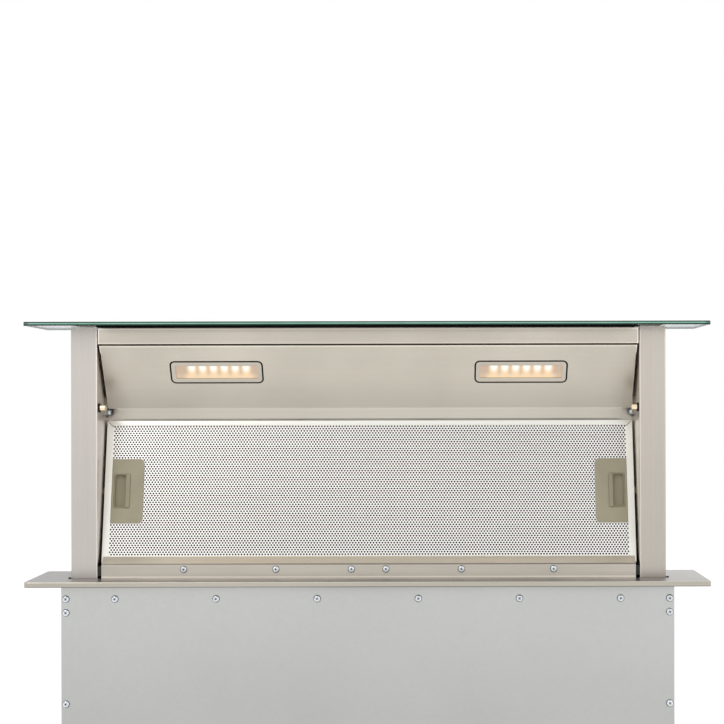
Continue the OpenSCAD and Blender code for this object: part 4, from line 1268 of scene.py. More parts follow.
@dataclass
class Shop:
    """Hands finished pieces over to the frame and keeps the list of what was made."""

    frame: Dict[str, object]
    made: List[str] = field(default_factory=list)
    dense: int = 30000

    @staticmethod
    def coat(piece: Piece, *finishes: Finish) -> None:
        """Give a piece these finishes, in the order of its material slots."""
        for finish in finishes:
            piece.data.materials.append(finish.material())

    def deliver(self, piece: Piece, body: Body, slot: str, finish: Finish,
                *nodes: str, angle: float = 32.0) -> Piece:
        """Dress a finished piece and make it ride.

        Args:
            piece: The piece, with its place in its mesh.
            body: The body that it rides on.
            slot: The record's material slot; not used.
            finish: Its finish.
            *nodes: The CAD nodes that it stands for.
            angle: Edges flatter than this look smooth, in degrees.

        Returns:
            The piece.
        """
        Bench.take(piece)
        if not piece.data.materials:
            piece.data.materials.append(finish.material())
        bpy.ops.object.shade_smooth_by_angle(angle=math.radians(angle))
        if len(piece.data.polygons) < self.dense:
            Bench.modify(piece, "WEIGHTED_NORMAL", keep_sharp=True)
        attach(piece, body.value)
        if nodes:
            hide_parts(*nodes)
        self.made.append(piece.name)
        LOG.info("%s: %d faces, rides on %s%s", piece.name, len(piece.data.polygons), body.value,
                 ", stands for " + ", ".join(nodes) if nodes else "")
        return piece

    def dress(self, finish: Finish, *nodes: str) -> None:
        """Give CAD nodes a finish.

        Args:
            finish: The finish.
            *nodes: The nodes, which keep their shape.
        """
        for node in nodes:
            mesh = self.frame["nodes"][node].data
            mesh.materials.clear()
            mesh.materials.append(finish.material())
            LOG.info("%s: dressed in %s", node, finish.name)


@dataclass
class GlassTop:
    """The glass top and the seal under it."""

    half: float = 440.0
    half_depth: float = 60.0
    corner: float = 4.0
    arris: float = 0.5

    def build(self, shop: Shop) -> None:
        """Build the glass and dress its faces and edge apart.

        Args:
            shop: Takes the pieces.
        """
        low = (-self.half, -self.half_depth, LAYOUT.glass_z)
        high = (self.half, self.half_depth, LAYOUT.glass_z + LAYOUT.glass_t)
        glass = Bench.slab("glass_top_sheet", low, high, self.corner, 10)
        Bench.bevel(glass, self.arris, 2, lambda at, run: abs(run.z) < 0.1)
        Shop.coat(glass, Finishes.GLASS, Finishes.GLASS_EDGE, Finishes.GLASS_UNDER)
        # The underside faces take the painted reflection of GLASS_UNDER.
        for face in glass.data.polygons:
            flat = abs(face.normal.z) > 0.95
            face.material_index = 1 if not flat else 0 if face.normal.z > 0 else 2
        shop.deliver(glass, Body.TOWER, "glass", Finishes.GLASS, "glass_top")
        shop.dress(Finishes.PRINT, "glass_seal")


@dataclass
class WorktopTrim:
    """The flange on the worktop with the slot that the tower rises through."""

    half: float = 440.0
    half_depth: float = 60.0
    corner: float = 5.0
    sheet: float = 2.0
    slot_low: Pair = (-389.5, -23.0)
    slot_high: Pair = (389.5, 49.5)
    fold: float = 1.2
    fold_foot: float = -10.0
    flange_foot: float = -25.0
    flange_half: float = 377.0
    edge: float = 1.6
    buffer: Triple = (390.2, -21.4, 1.6)
    buffer_h: float = 1.7

    def deck(self) -> Piece:
        """Build the deck with its rounded rim, hollow below.

        Returns:
            The deck.
        """
        top = LAYOUT.trim_top
        deck = Bench.slab("worktop_trim_deck", (-self.half, -self.half_depth, 0),
                          (self.half, self.half_depth, top), self.corner, 10)
        Bench.bevel(deck, self.edge, 4, lambda at, run: abs(run.z) < 0.1 and at.z > top - NEAR)
        hollow = Bench.slab("hollow", (-self.half + self.sheet, -self.half_depth + self.sheet, -1),
                            (self.half - self.sheet, self.half_depth - self.sheet, top - self.sheet),
                            self.corner - self.sheet, 10)
        return Bench.cut(deck, hollow, Bench.box("slot", (*self.slot_low, -20), (*self.slot_high, 20)))

    def buffers(self) -> Piece:
        """Build the two small buffers that stand at the slot's front corners.

        Returns:
            The buffers.
        """
        x, y, r = self.buffer
        right = Bench.rod("slot_buffers", (x, y, LAYOUT.trim_top - 0.4), "z", r, self.buffer_h + 0.4, 24)
        Bench.bevel(right, 0.7, 3, lambda at, run: at.z > LAYOUT.trim_top + self.buffer_h - NEAR)
        return Bench.both(right)

    def rim(self) -> Piece:
        """Build the folded edge that runs down around the slot.

        Returns:
            The rim.
        """
        (x0, y0), (x1, y1), f = self.slot_low, self.slot_high, self.fold
        rim = Bench.box("slot_rim", (x0 - f, y0 - f, self.fold_foot), (x1 + f, y1 + f, 5.0))
        return Bench.cut(rim, Bench.box("slot", (x0, y0, -20), (x1, y1, 20)))

    def build(self, shop: Shop) -> None:
        """Build the trim from its deck, rim and flanges.

        Args:
            shop: Takes the pieces.
        """
        deck = self.deck()
        parts = [self.rim()]
        for y0 in (LAYOUT.housing_front + 1.0, LAYOUT.housing_back - 1.0 - self.fold):
            parts.append(Bench.box("flange", (-self.flange_half, y0, self.flange_foot),
                                   (self.flange_half, y0 + self.fold, 5.0)))
        Bench.join(deck, *parts)
        Bench.soften(deck, 0.35, 2, 50.0)
        Shop.coat(deck, Finishes.TRIM, Finishes.TRIM_TOP_PAINTED_LIGHT)
        # The top faces take the darker copy of the trim's steel: painted shade.
        for face in deck.data.polygons:
            if face.normal.z > 0.9 and face.center.z > (LAYOUT.trim_top - 0.5) * MM:
                face.material_index = 1
        shop.deliver(deck, Body.HOUSING, "trim_steel", Finishes.TRIM, "worktop_trim")
        shop.deliver(self.buffers(), Body.HOUSING, "black_rubber", Finishes.RUBBER)
        shop.dress(Finishes.RUBBER, "trim_gasket")


@dataclass
class Tower:
    """Columns, header, back panel and the frame below them."""

    bend: float = 1.6
    header_gap: float = 1.0
    header_fold: float = 15.0

    def column(self) -> Piece:
        """Build the right column, a folded tube open at its foot.

        Returns:
            The column.
        """
        low = (LAYOUT.column_in, LAYOUT.tower_front, LAYOUT.column_foot)
        high = (LAYOUT.column_out, LAYOUT.tower_back, LAYOUT.glass_z)
        column = Bench.slab("right_column_tube", low, high, self.bend, 4)
        Bench.drop(column, lambda at, normal: normal.z < -0.9)
        Bench.thicken(column, LAYOUT.sheet)
        Bench.bevel(column, 0.3, 1, lambda at, run: at.z > LAYOUT.glass_z - NEAR and abs(run.z) < 0.1)
        return column

    def header(self) -> Piece:
        """Build the folded header between the columns.

        Returns:
            The header.
        """
        half = LAYOUT.column_in - self.header_gap
        front = LAYOUT.tower_front
        path = [(front + self.header_fold, LAYOUT.header_low), (front, LAYOUT.header_low),
                (front, LAYOUT.header_high)]
        header = Bench.folded("header_sheet", path, -half, half, LAYOUT.sheet, 1.2)
        flap = Bench.box("header_end", (half - LAYOUT.sheet, front + 0.3, LAYOUT.header_low + 1.5),
                         (half, front + 12, LAYOUT.header_high - 2.5))
        Bench.bevel(flap, 0.5, 2, lambda at, run: True)
        return Bench.join(header, Bench.both(flap))

    def build(self, shop: Shop) -> None:
        """Build the tower's visible sheets and dress the rest.

        Args:
            shop: Takes the pieces.
        """
        right = self.column()
        left = Bench.mirror(right, "left_column_tube")
        shop.deliver(right, Body.TOWER, "brushed_steel", Finishes.COLUMN_RIGHT_SHADED, "right_column")
        shop.deliver(left, Body.TOWER, "brushed_steel", Finishes.COLUMN, "left_column")
        shop.deliver(self.header(), Body.TOWER, "brushed_steel", Finishes.HEADER, "header_rail")
        shop.dress(Finishes.BACK, "back_panel")
        shop.dress(Finishes.GALVANISED, "top_plate", "lower_frame")
        shop.dress(Finishes.TRAY, "drip_tray")


@dataclass
class PanScrew:
    """A pan-head screw with a cross recess, seen along +Y, with painted shade in its recess and a painted
    shadow ring behind its head.
    """

    radius: float
    height: float
    recess: float
    finish: Finish = Finishes.ZINC

    def head(self, name: str) -> Piece:
        """Build one head that stands on y = 0 and faces -Y.

        Args:
            name: Its name.

        Returns:
            The head.
        """
        head = Bench.rod(name, (0, -self.height, 0), "y", self.radius, self.height, 32)
        Bench.bevel(head, self.height * 0.62, 4, lambda at, run: at.y < -self.height + NEAR)
        arm, slot = self.recess, self.recess * 0.24
        cutters = []
        for wide, tall in ((arm, slot), (slot, arm)):
            cutter = Bench.box("recess", (-wide, -self.height - 1, -tall), (wide, -self.height * 0.42, tall))
            Bench.edit(cutter, Part.FACES, lambda at, normal: normal.y > 0.9)
            bpy.ops.transform.resize(value=(0.55, 1.0, 0.55))
            Bench.done()
            cutters.append(cutter)
        Bench.cut(head, *cutters)
        # Painted shadow: a thin dark ring behind the head, all in SHADOW.
        seat = Bench.rod("seat", (0, -0.35, 0), "y", self.radius + 0.5, 0.3, 32)
        Bench.bevel(seat, 0.12, 1, lambda at, run: at.y < -0.34)
        for piece in (head, seat):
            Shop.coat(piece, self.finish, Finishes.SHADOW)
        # Painted shade: the recess's deep faces take the dark SHADOW finish.
        for face in head.data.polygons:
            middle = face.center / MM
            if math.hypot(middle.x, middle.z) < self.recess and middle.y > -self.height + 0.02:
                face.material_index = 1 if middle.y > -self.height * 0.97 else 0
        for face in seat.data.polygons:
            face.material_index = 1
        return Bench.join(head, seat)

    def row(self, name: str, places: Iterable[Triple], back: bool = False,
            inward: int = 0) -> Piece:
        """Copy the head to several places and join the copies.

        Args:
            name: The joined piece's name.
            places: Where the heads stand.
            back: Whether they face +Y.
            inward: 0, or the sign of the X direction that they face.

        Returns:
            The joined heads.
        """
        head = self.head("head")
        heads = []
        for k, place in enumerate(places):
            frame = Matrix.Rotation(math.radians((k * 37 + 11) % 90), 4, "Y")
            if back:
                frame = Matrix.Rotation(math.pi, 4, "Z") @ frame
            if inward:
                frame = Matrix.Rotation(math.pi / 2 * inward, 4, "Z") @ frame
            heads.append(Bench.copy(head, name, place, frame))
        bpy.data.objects.remove(head)
        return Bench.join(heads[0], *heads[1:])


@dataclass
class Housing:
    """The galvanised box below the worktop with its screws and feet."""

    row_z: float = -16.0
    row_x: Tuple[float, ...] = (65.0, 195.0, 325.0)
    edge_x: float = 388.0
    edge_z: float = -33.6
    pitch: float = 117.4
    rows: int = 6
    foot_half: float = 25.0
    foot_reach: float = 46.0
    foot_leg: float = 60.0
    foot_t: float = 2.0
    foot_hole: Pair = (421.6, 4.0)

    def screw_places(self) -> List[Pair]:
        """Where the screws of one face stand, as (x, z).

        Returns:
            The places.
        """
        top = [(s * x, self.row_z) for x in (*self.row_x, self.edge_x) for s in (-1, 1)]
        edge = [(s * self.edge_x, self.edge_z - k * self.pitch)
                for k in range(self.rows) for s in (-1, 1)]
        return top + edge

    def foot(self) -> Piece:
        """Build the right angle foot with its bolt hole and rounded toe.

        Returns:
            The foot.
        """
        x, z, t = LAYOUT.housing_half, LAYOUT.housing_foot, self.foot_t
        foot = Bench.box("right_foot", (x, -self.foot_half, z), (x + self.foot_reach, self.foot_half, z + t))
        leg = Bench.box("leg", (x, -self.foot_half, z + t), (x + t, self.foot_half, z + self.foot_leg))
        Bench.bevel(foot, 9.0, 6, lambda at, run: abs(run.z) > 0.9 and at.x > x + 5)
        Bench.bevel(leg, 9.0, 6, lambda at, run: abs(run.x) > 0.9 and at.z > z + 30)
        rib = Bench.box("rib", (x + t, -2.0, z + t), (x + 16, 2.0, z + 18))
        Bench.bevel(rib, 9.0, 5, lambda at, run: abs(run.y) > 0.9 and at.x > x + 10 and at.z > z + 10)
        hole = Bench.rod("hole", (self.foot_hole[0], 0, z - 5), "z", self.foot_hole[1], 12)
        Bench.cut(foot, hole)
        Bench.join(foot, leg, rib)
        Bench.soften(foot, 0.25, 1, 50.0)
        return foot

    def build(self, shop: Shop) -> None:
        """Build the screws and feet, and dress the sheets.

        Args:
            shop: Takes the pieces.
        """
        shop.dress(Finishes.GALVANISED, "housing_front", "housing_back", "housing_left_side",
                   "housing_right_side", "housing_base")
        screw = PanScrew(*LAYOUT.screw)
        places = self.screw_places()
        front = screw.row("housing_front_screws", [(x, LAYOUT.housing_front, z) for x, z in places])
        rear = screw.row("housing_back_screws", [(x, LAYOUT.housing_back, z) for x, z in places], True)
        shop.deliver(Bench.join(front, rear), Body.HOUSING, "zinc_plate", Finishes.ZINC, "housing_screws")
        shop.deliver(Bench.both(self.foot()), Body.HOUSING, "galvanised_sheet", Finishes.GALVANISED,
                     "floor_feet")


@dataclass
class BottomRail:
    """The tower's front rail with its sloping ledge and six screws."""

    end_gap: float = 5.0
    notch_foot: float = 5.0
    screw_x: Tuple[float, ...] = (22.5, 121.1, 241.5)
    screw_z: float = 18.4

    def build(self, shop: Shop) -> None:
        """Build the rail and its screws.

        Args:
            shop: Takes the pieces.
        """
        half = LAYOUT.column_in
        front = LAYOUT.tower_front
        path = [(front, LAYOUT.column_foot), (front, LAYOUT.rail_top), LAYOUT.ledge]
        rail = Bench.folded("bottom_rail_sheet", path, -half, half, LAYOUT.sheet, 0.9)
        notches = [Bench.box("notch", (min(s * (half - self.end_gap), s * (half + 1)), front - 2,
                                       self.notch_foot),
                             (max(s * (half - self.end_gap), s * (half + 1)), 0, 40)) for s in (-1, 1)]
        Bench.cut(rail, *notches)
        shop.deliver(rail, Body.TOWER, "brushed_steel", Finishes.RAIL, "bottom_rail")
        screw = PanScrew(*LAYOUT.screw)
        heads = screw.row("rail_screw_heads", [(s * x, front, self.screw_z) for x in self.screw_x
                                               for s in (-1, 1)])
        shop.deliver(heads, Body.TOWER, "zinc_plate", Finishes.ZINC, "rail_screws")


@dataclass
class LampPanel:
    """The sloping sheet with its lamps, lip, side folds and pivots."""

    fold: float = 14.0
    fold_top: float = 12.0
    lip_half: float = 338.0
    lip_h: float = 13.5
    bend: float = 1.5
    lamp: Pair = (119.0, 30.2)
    lamp_r: float = 5.0
    lamp_gap: float = 1.9
    window: Pair = (108.0, 19.0)
    case_depth: float = 14.0
    ear_r: float = 7.0
    ear_x: float = 352.3
    bush: Pair = (-12.0, 229.5)
    bush_r: float = 4.5
    bush_len: float = 9.0
    collar_r: float = 5.8
    collar_t: float = 2.3

    def sheet(self) -> Piece:
        """Fold the slope, side folds and lip from one sheet, in the panel's own frame.

        Returns:
            The sheet, in the row frame, with its two lamp openings.
        """
        half, length, lean = LAYOUT.panel_half, LAYOUT.panel_len, LAYOUT.panel_lean
        Bench.clear()
        bpy.ops.mesh.primitive_plane_add(size=1.0, rotation=(math.pi / 2, 0, 0),
                                         location=(0, 0, -length / 2 * MM))
        bpy.context.active_object.scale = (2 * half * MM, length * MM, 1)
        sheet = Bench.settle("lamp_panel_sheet")
        Bench.slice(sheet, (0, 0, -self.fold_top), (0, 0, 1))
        for x in (-self.lip_half, self.lip_half):
            Bench.slice(sheet, (x, 0, 0), (1, 0, 0))
        Bench.edit(sheet, Part.EDGES, lambda at, run: abs(run.z) > 0.9 and abs(abs(at.x) - half) < NEAR
                   and at.z < -self.fold_top)
        Bench.extrude((0, self.fold, 0))
        Bench.done()
        Bench.edit(sheet, Part.EDGES, lambda at, run: abs(run.x) > 0.9 and abs(at.z + length) < NEAR
                   and abs(at.x) < self.lip_half)
        Bench.extrude((0, -self.lip_h * math.sin(lean), -self.lip_h * math.cos(lean)))
        Bench.done()
        Bench.bevel(sheet, self.bend, 4, lambda at, run: (
            abs(run.z) > 0.9 and abs(abs(at.x) - half) < NEAR and at.z < -self.fold_top
            and abs(at.y) < NEAR) or (
            abs(run.x) > 0.9 and abs(at.z + length) < NEAR and abs(at.x) < self.lip_half))
        Bench.orient(sheet)
        slope = max(sheet.data.polygons, key=lambda face: face.area)
        if slope.normal.y > 0:
            Bench.flip(sheet)
        Bench.thicken(sheet, LAYOUT.sheet)
        w, h = self.lamp[0] / 2 + self.lamp_gap, self.lamp[1] / 2 + self.lamp_gap
        for side in Side:
            x = side.value * LAYOUT.lamp_x
            Bench.cut(sheet, Bench.plaque("opening", (x - w, -5, -LAYOUT.lamp_down - h),
                                          (x + w, 5, -LAYOUT.lamp_down + h), self.lamp_r + self.lamp_gap))
            Bench.bevel(sheet, 0.5, 2, lambda at, run: abs(at.y) < NEAR and abs(run.y) < 0.1
                        and abs(abs(at.x) - LAYOUT.lamp_x) < w + 0.1
                        and abs(at.z + LAYOUT.lamp_down) < h + 0.1)
        Bench.put(sheet, LAYOUT.panel_frame)
        return sheet

    def ear(self) -> Piece:
        """Build the right pivot ear with its round foot and its arm.

        Returns:
            The ear.
        """
        (y, z), r, t = LAYOUT.pivot, self.ear_r, LAYOUT.sheet
        ear = Bench.box("right_ear", (self.ear_x, y - r, z - r), (self.ear_x + t, y + r, z + 20))
        Bench.bevel(ear, r - 0.05, 8, lambda at, run: abs(run.x) > 0.9 and at.z < z)
        Bench.edit(ear, Part.EDGES, lambda at, run: abs(run.x) > 0.9 and at.z > z + 19 and at.y > y)
        bpy.ops.mesh.bevel(offset=8 * MM, segments=4, affect="EDGES")
        Bench.done()
        arm = Bench.box("arm", (LAYOUT.panel_half - t, y - r, z + 14), (self.ear_x + t, y - r + 4, z + 20))
        Bench.bevel(arm, 0.8, 2, lambda at, run: abs(run.z) > 0.9)
        return Bench.join(ear, arm)

    def bezel(self) -> Piece:
        """Build the right lamp's frame and case, in the panel's own frame.

        Returns:
            The bezel, in the row frame.
        """
        x, z = LAYOUT.lamp_x, -LAYOUT.lamp_down
        w, h = self.lamp[0] / 2, self.lamp[1] / 2
        a, b = self.window[0] / 2, self.window[1] / 2
        frame = Bench.plaque("right_lamp_frame", (x - w, 0, z - h), (x + w, 1.8, z + h), self.lamp_r)
        Bench.bevel(frame, 0.2, 2, lambda at, run: at.y < NEAR and abs(run.y) < 0.1)
        Bench.cut(frame, Bench.plaque("window", (x - a, -2, z - b), (x + a, 3, z + b), 1.8, 4))
        Bench.edit(frame, Part.EDGES, lambda at, run: at.y < NEAR and abs(run.y) < 0.1
                   and abs(at.x - x) < a + 0.2 and abs(at.z - z) < b + 0.2)
        bpy.ops.mesh.bevel(offset=0.6 * MM, segments=2, affect="EDGES")
        Bench.done()
        case = Bench.plaque("case", (x - w - 2, 1.25, z - h - 2),
                            (x + w + 2, self.case_depth, z + h + 2), 6.5)
        Bench.cut(case, Bench.plaque("bay", (x - a - 2, 0, z - b - 2),
                                     (x + a + 2, self.case_depth - 1.5, z + b + 2), 2.5, 4))
        Bench.soften(case, 0.6, 2, 50)
        frame.data.materials.append(Finishes.LAMP_FRAME.material())
        # The case takes the near-black painted shade that darkens the gap round the frame.
        case.data.materials.append(Finishes.LAMP_CASE.material())
        Bench.join(frame, case)
        return Bench.put(frame, LAYOUT.panel_frame)

    def lens(self) -> Piece:
        """Build the right lamp's window with softened edges.

        Returns:
            The window, in the row frame.
        """
        x, z = LAYOUT.lamp_x, -LAYOUT.lamp_down
        a, b = self.window[0] / 2 + 1.9, self.window[1] / 2 + 1.9
        lens = Bench.plaque("right_lamp_window", (x - a, 1.9, z - b), (x + a, 3.9, z + b), 2.4, 4)
        Bench.bevel(lens, 0.3, 2, lambda at, run: abs(run.y) < 0.1)
        return Bench.put(lens, LAYOUT.panel_frame)

    def bushes(self) -> Piece:
        """Build the right brass bush: turned, grooved and bored.

        Returns:
            The bush.
        """
        (y, z), x = self.bush, LAYOUT.column_in
        tip = x - self.bush_len
        bush = Bench.rod("right_bush", (tip, y, z), "x", self.bush_r, self.bush_len + 3, 40)
        Bench.bevel(bush, 0.6, 3, lambda at, run: at.x < tip + NEAR)
        Bench.edit(bush, Part.FACES, lambda at, normal: normal.x < -0.99)
        bpy.ops.mesh.inset(thickness=1.2 * MM)
        bpy.ops.mesh.inset(thickness=0.5 * MM, depth=-0.6 * MM)
        Bench.extrude((3.0, 0, 0))
        Bench.done()
        Bench.merge(bush)
        return bush

    def collar(self) -> Piece:
        """Build the right bush's dark collar.

        Returns:
            The collar.
        """
        (y, z), x = self.bush, LAYOUT.column_in
        collar = Bench.rod("right_collar", (x - self.collar_t, y, z), "x", self.collar_r, self.collar_t, 40)
        Bench.cut(collar, Bench.rod("bore", (x - 5, y, z), "x", self.bush_r + 0.05, 9, 40))
        Bench.soften(collar, 0.4, 2, 50)
        return collar

    def build(self, shop: Shop) -> None:
        """Build the panel, its lamps, bushes and pivot screws.

        Args:
            shop: Takes the pieces.
        """
        sheet = self.sheet()
        ear = self.ear()
        Bench.join(sheet, ear, Bench.mirror(ear, "left_ear"))
        shop.deliver(sheet, Body.LAMP_PANEL, "brushed_steel", Finishes.PANEL, "lamp_panel")
        bezel, lens = self.bezel(), self.lens()
        for side in Side:
            frame = bezel if side is Side.RIGHT else Bench.mirror(bezel, "left_lamp_frame")
            glow = lens if side is Side.RIGHT else Bench.mirror(lens, "left_lamp_window")
            finish = Finishes.RIGHT_GLOW if side is Side.RIGHT else Finishes.LEFT_GLOW
            shop.deliver(frame, Body.LAMP_PANEL, "brushed_steel", Finishes.PANEL, f"{side.word}_lamp_bezel")
            shop.deliver(glow, Body.LAMP_PANEL, "lens", finish, f"{side.word}_lamp_lens")
        shop.dress(Finishes.LAMP_BOARD, "lamp_boards")
        bush, collar = self.bushes(), self.collar()
        shop.deliver(Bench.join(bush, Bench.mirror(bush, "left_bush")), Body.TOWER, "brass",
                     Finishes.BRASS, "stop_bushes")
        shop.deliver(Bench.join(collar, Bench.mirror(collar, "left_collar")), Body.TOWER, "black_rubber",
                     Finishes.RUBBER, "bush_collars")
        screw = PanScrew(4.8, 4.0, 2.8, Finishes.ZINC_DOME)
        y, z = LAYOUT.pivot
        right = screw.row("pivot_screw_heads", [(self.ear_x - 0.1, y, z)], inward=-1)
        left = screw.row("left_pivot_screw", [(-self.ear_x + 0.1, y, z)], inward=1)
        shop.deliver(Bench.join(right, left), Body.TOWER, "zinc_plate", Finishes.ZINC, "pivot_screws")


@dataclass
class GreaseFilter:
    """The leaning filter: mitred frame, perforated front and core."""

    border: float = 9.5
    top_border: float = 6.7
    foot_border: float = 10.5
    seam: float = 0.3
    depth: float = 10.0
    sheet_y: float = 1.0
    sheet_t: float = 0.8
    hole: float = 1.4
    pitch: float = 3.9
    row: float = 3.0
    window_x: Pair = (315.9, 340.7)
    window_half: float = 24.5
    latch_down: float = 95.0

    def bar(self, name: str, upright: bool) -> Piece:
        """Build the top bar, or the right upright bar, with mitred ends.

        Args:
            name: Its name.
            upright: Whether it is the right upright bar.

        Returns:
            The bar, in the filter's own frame.
        """
        half, length, b, t = LAYOUT.filter_half, LAYOUT.filter_len, self.border, self.top_border
        if upright:
            bar = Bench.box(name, (half - b, 0, -length), (half, self.depth, 0))
            Bench.slice(bar, (half, 0, -self.seam), (-t, 0, b), "front", True)
            Bench.slice(bar, (half, 0, -length + self.seam), (-t, 0, -b), "front", True)
            low, high = (half - b - 1.0, 1.0, -length + 9), (half - 1.0, self.depth - 1.0, -8)
        else:
            bar = Bench.box(name, (-half, 0, -t), (half, self.depth, 0))
            Bench.slice(bar, (half - self.seam, 0, 0), (t, 0, -b), "front", True)
            Bench.slice(bar, (-half + self.seam, 0, 0), (-t, 0, -b), "front", True)
            low, high = (-half + 8, 1.0, -t - 1), (half - 8, self.depth - 1.0, -1.0)
        Bench.soften(bar, 0.55, 3, 40)
        return Bench.cut(bar, Bench.box("hollow", low, high))

    def frame(self) -> Piece:
        """Build the four bars of the frame.

        Returns:
            The frame, in the row frame.
        """
        top, right = self.bar("filter_frame_bars", False), self.bar("right_bar", True)
        slot = Bench.box("bolt_slot", (330, 2.2, -self.latch_down - 4.3), (360, 5.8, -self.latch_down + 4.3))
        Bench.cut(right, slot)
        left = Bench.mirror(right, "left_bar")
        foot = Bench.copy(top, "foot_bar", (0, 0, -LAYOUT.filter_len), Matrix.Scale(-1, 4, (0, 0, 1)))
        Bench.merge(foot)
        half, length = LAYOUT.filter_half - self.border, LAYOUT.filter_len
        hem = Bench.box("foot_hem", (-half, 0.1, -length + self.top_border - 0.8),
                        (half, 1.7, -length + self.foot_border))
        Bench.bevel(hem, 0.5, 3, lambda at, run: abs(run.x) > 0.9)
        Bench.join(top, right, left, foot, hem)
        return Bench.put(top, LAYOUT.filter_frame)

    def half_sheet(self) -> Piece:
        """Punch the right half of the perforated sheet from one repeated cell.

        Returns:
            The half sheet, in the row frame.
        """
        Bench.clear()
        bpy.ops.mesh.primitive_circle_add(vertices=6, radius=self.hole * MM, fill_type="NOTHING")
        cell = Bench.settle("right_perforated_sheet")
        wide = self.pitch / 2 / (self.hole * math.cos(math.pi / 6))
        tall = self.row / (1.5 * self.hole)
        Bench.edit(cell, Part.EDGES)
        Bench.extrude((0, 0, 0))
        bpy.ops.transform.resize(value=(wide, tall, 1.0))
        Bench.done()
        Bench.edit(cell, Part.EDGES, lambda at, run: math.hypot(at.x, at.y) < self.hole)
        Bench.extrude((0, 0, -self.sheet_t))
        Bench.done()
        Bench.orient(cell)
        top = max(cell.data.polygons, key=lambda face: abs(face.normal.z))
        if top.normal.z < 0:
            Bench.flip(cell)
        Shop.coat(cell, Finishes.PERFORATED, Finishes.PUNCHED)
        # The hole walls take the near-black painted shade.
        for face in cell.data.polygons:
            face.material_index = 0 if abs(face.normal.z) > 0.5 else 1
        next_row = Bench.copy(cell, "row", (self.pitch / 2, self.row, 0))
        Bench.join(cell, next_row)
        reach = LAYOUT.filter_half - self.border + 1.4
        columns = int(reach / self.pitch) + 2
        rows = int(LAYOUT.filter_len / self.row / 2) + 1
        for count, step in ((columns, (self.pitch * MM, 0, 0)), (rows, (0, 2 * self.row * MM, 0))):
            Bench.modify(cell, "ARRAY", count=count, use_relative_offset=False, use_constant_offset=True,
                         constant_offset_displace=step)
        Bench.merge(cell, outward=False)
        turned = Matrix.Translation((0, self.sheet_y * MM, -LAYOUT.filter_len * MM)) \
            @ Matrix.Rotation(math.pi / 2, 4, "X")
        Bench.put(cell, turned)
        edge = self.top_border - 1.2
        for place, normal in (((0, 0, 0), (-1, 0, 0)), ((reach, 0, 0), (1, 0, 0)),
                              ((0, 0, -edge), (0, 0, 1)), ((0, 0, -LAYOUT.filter_len + edge), (0, 0, -1))):
            Bench.slice(cell, place, normal, "front")
        (x0, x1), half = self.window_x, self.window_half
        Bench.drop(cell, lambda at, normal: x0 < at.x < x1 and abs(at.z + self.latch_down) < half)
        return Bench.put(cell, LAYOUT.filter_frame)

    def build(self, shop: Shop) -> None:
        """Build the frame and the perforated sheet and dress the core.

        Args:
            shop: Takes the pieces.
        """
        shop.deliver(self.frame(), Body.FILTER, "filter_alloy", Finishes.ALLOY, "filter_frame")
        right = self.half_sheet()
        left = Bench.mirror(right, "left_perforated_sheet")
        shop.deliver(right, Body.FILTER, "filter_alloy", Finishes.PERFORATED, "filter_mesh")
        shop.deliver(left, Body.FILTER, "filter_alloy", Finishes.PERFORATED, "filter_mesh")
        shop.dress(Finishes.CORE, "filter_core")


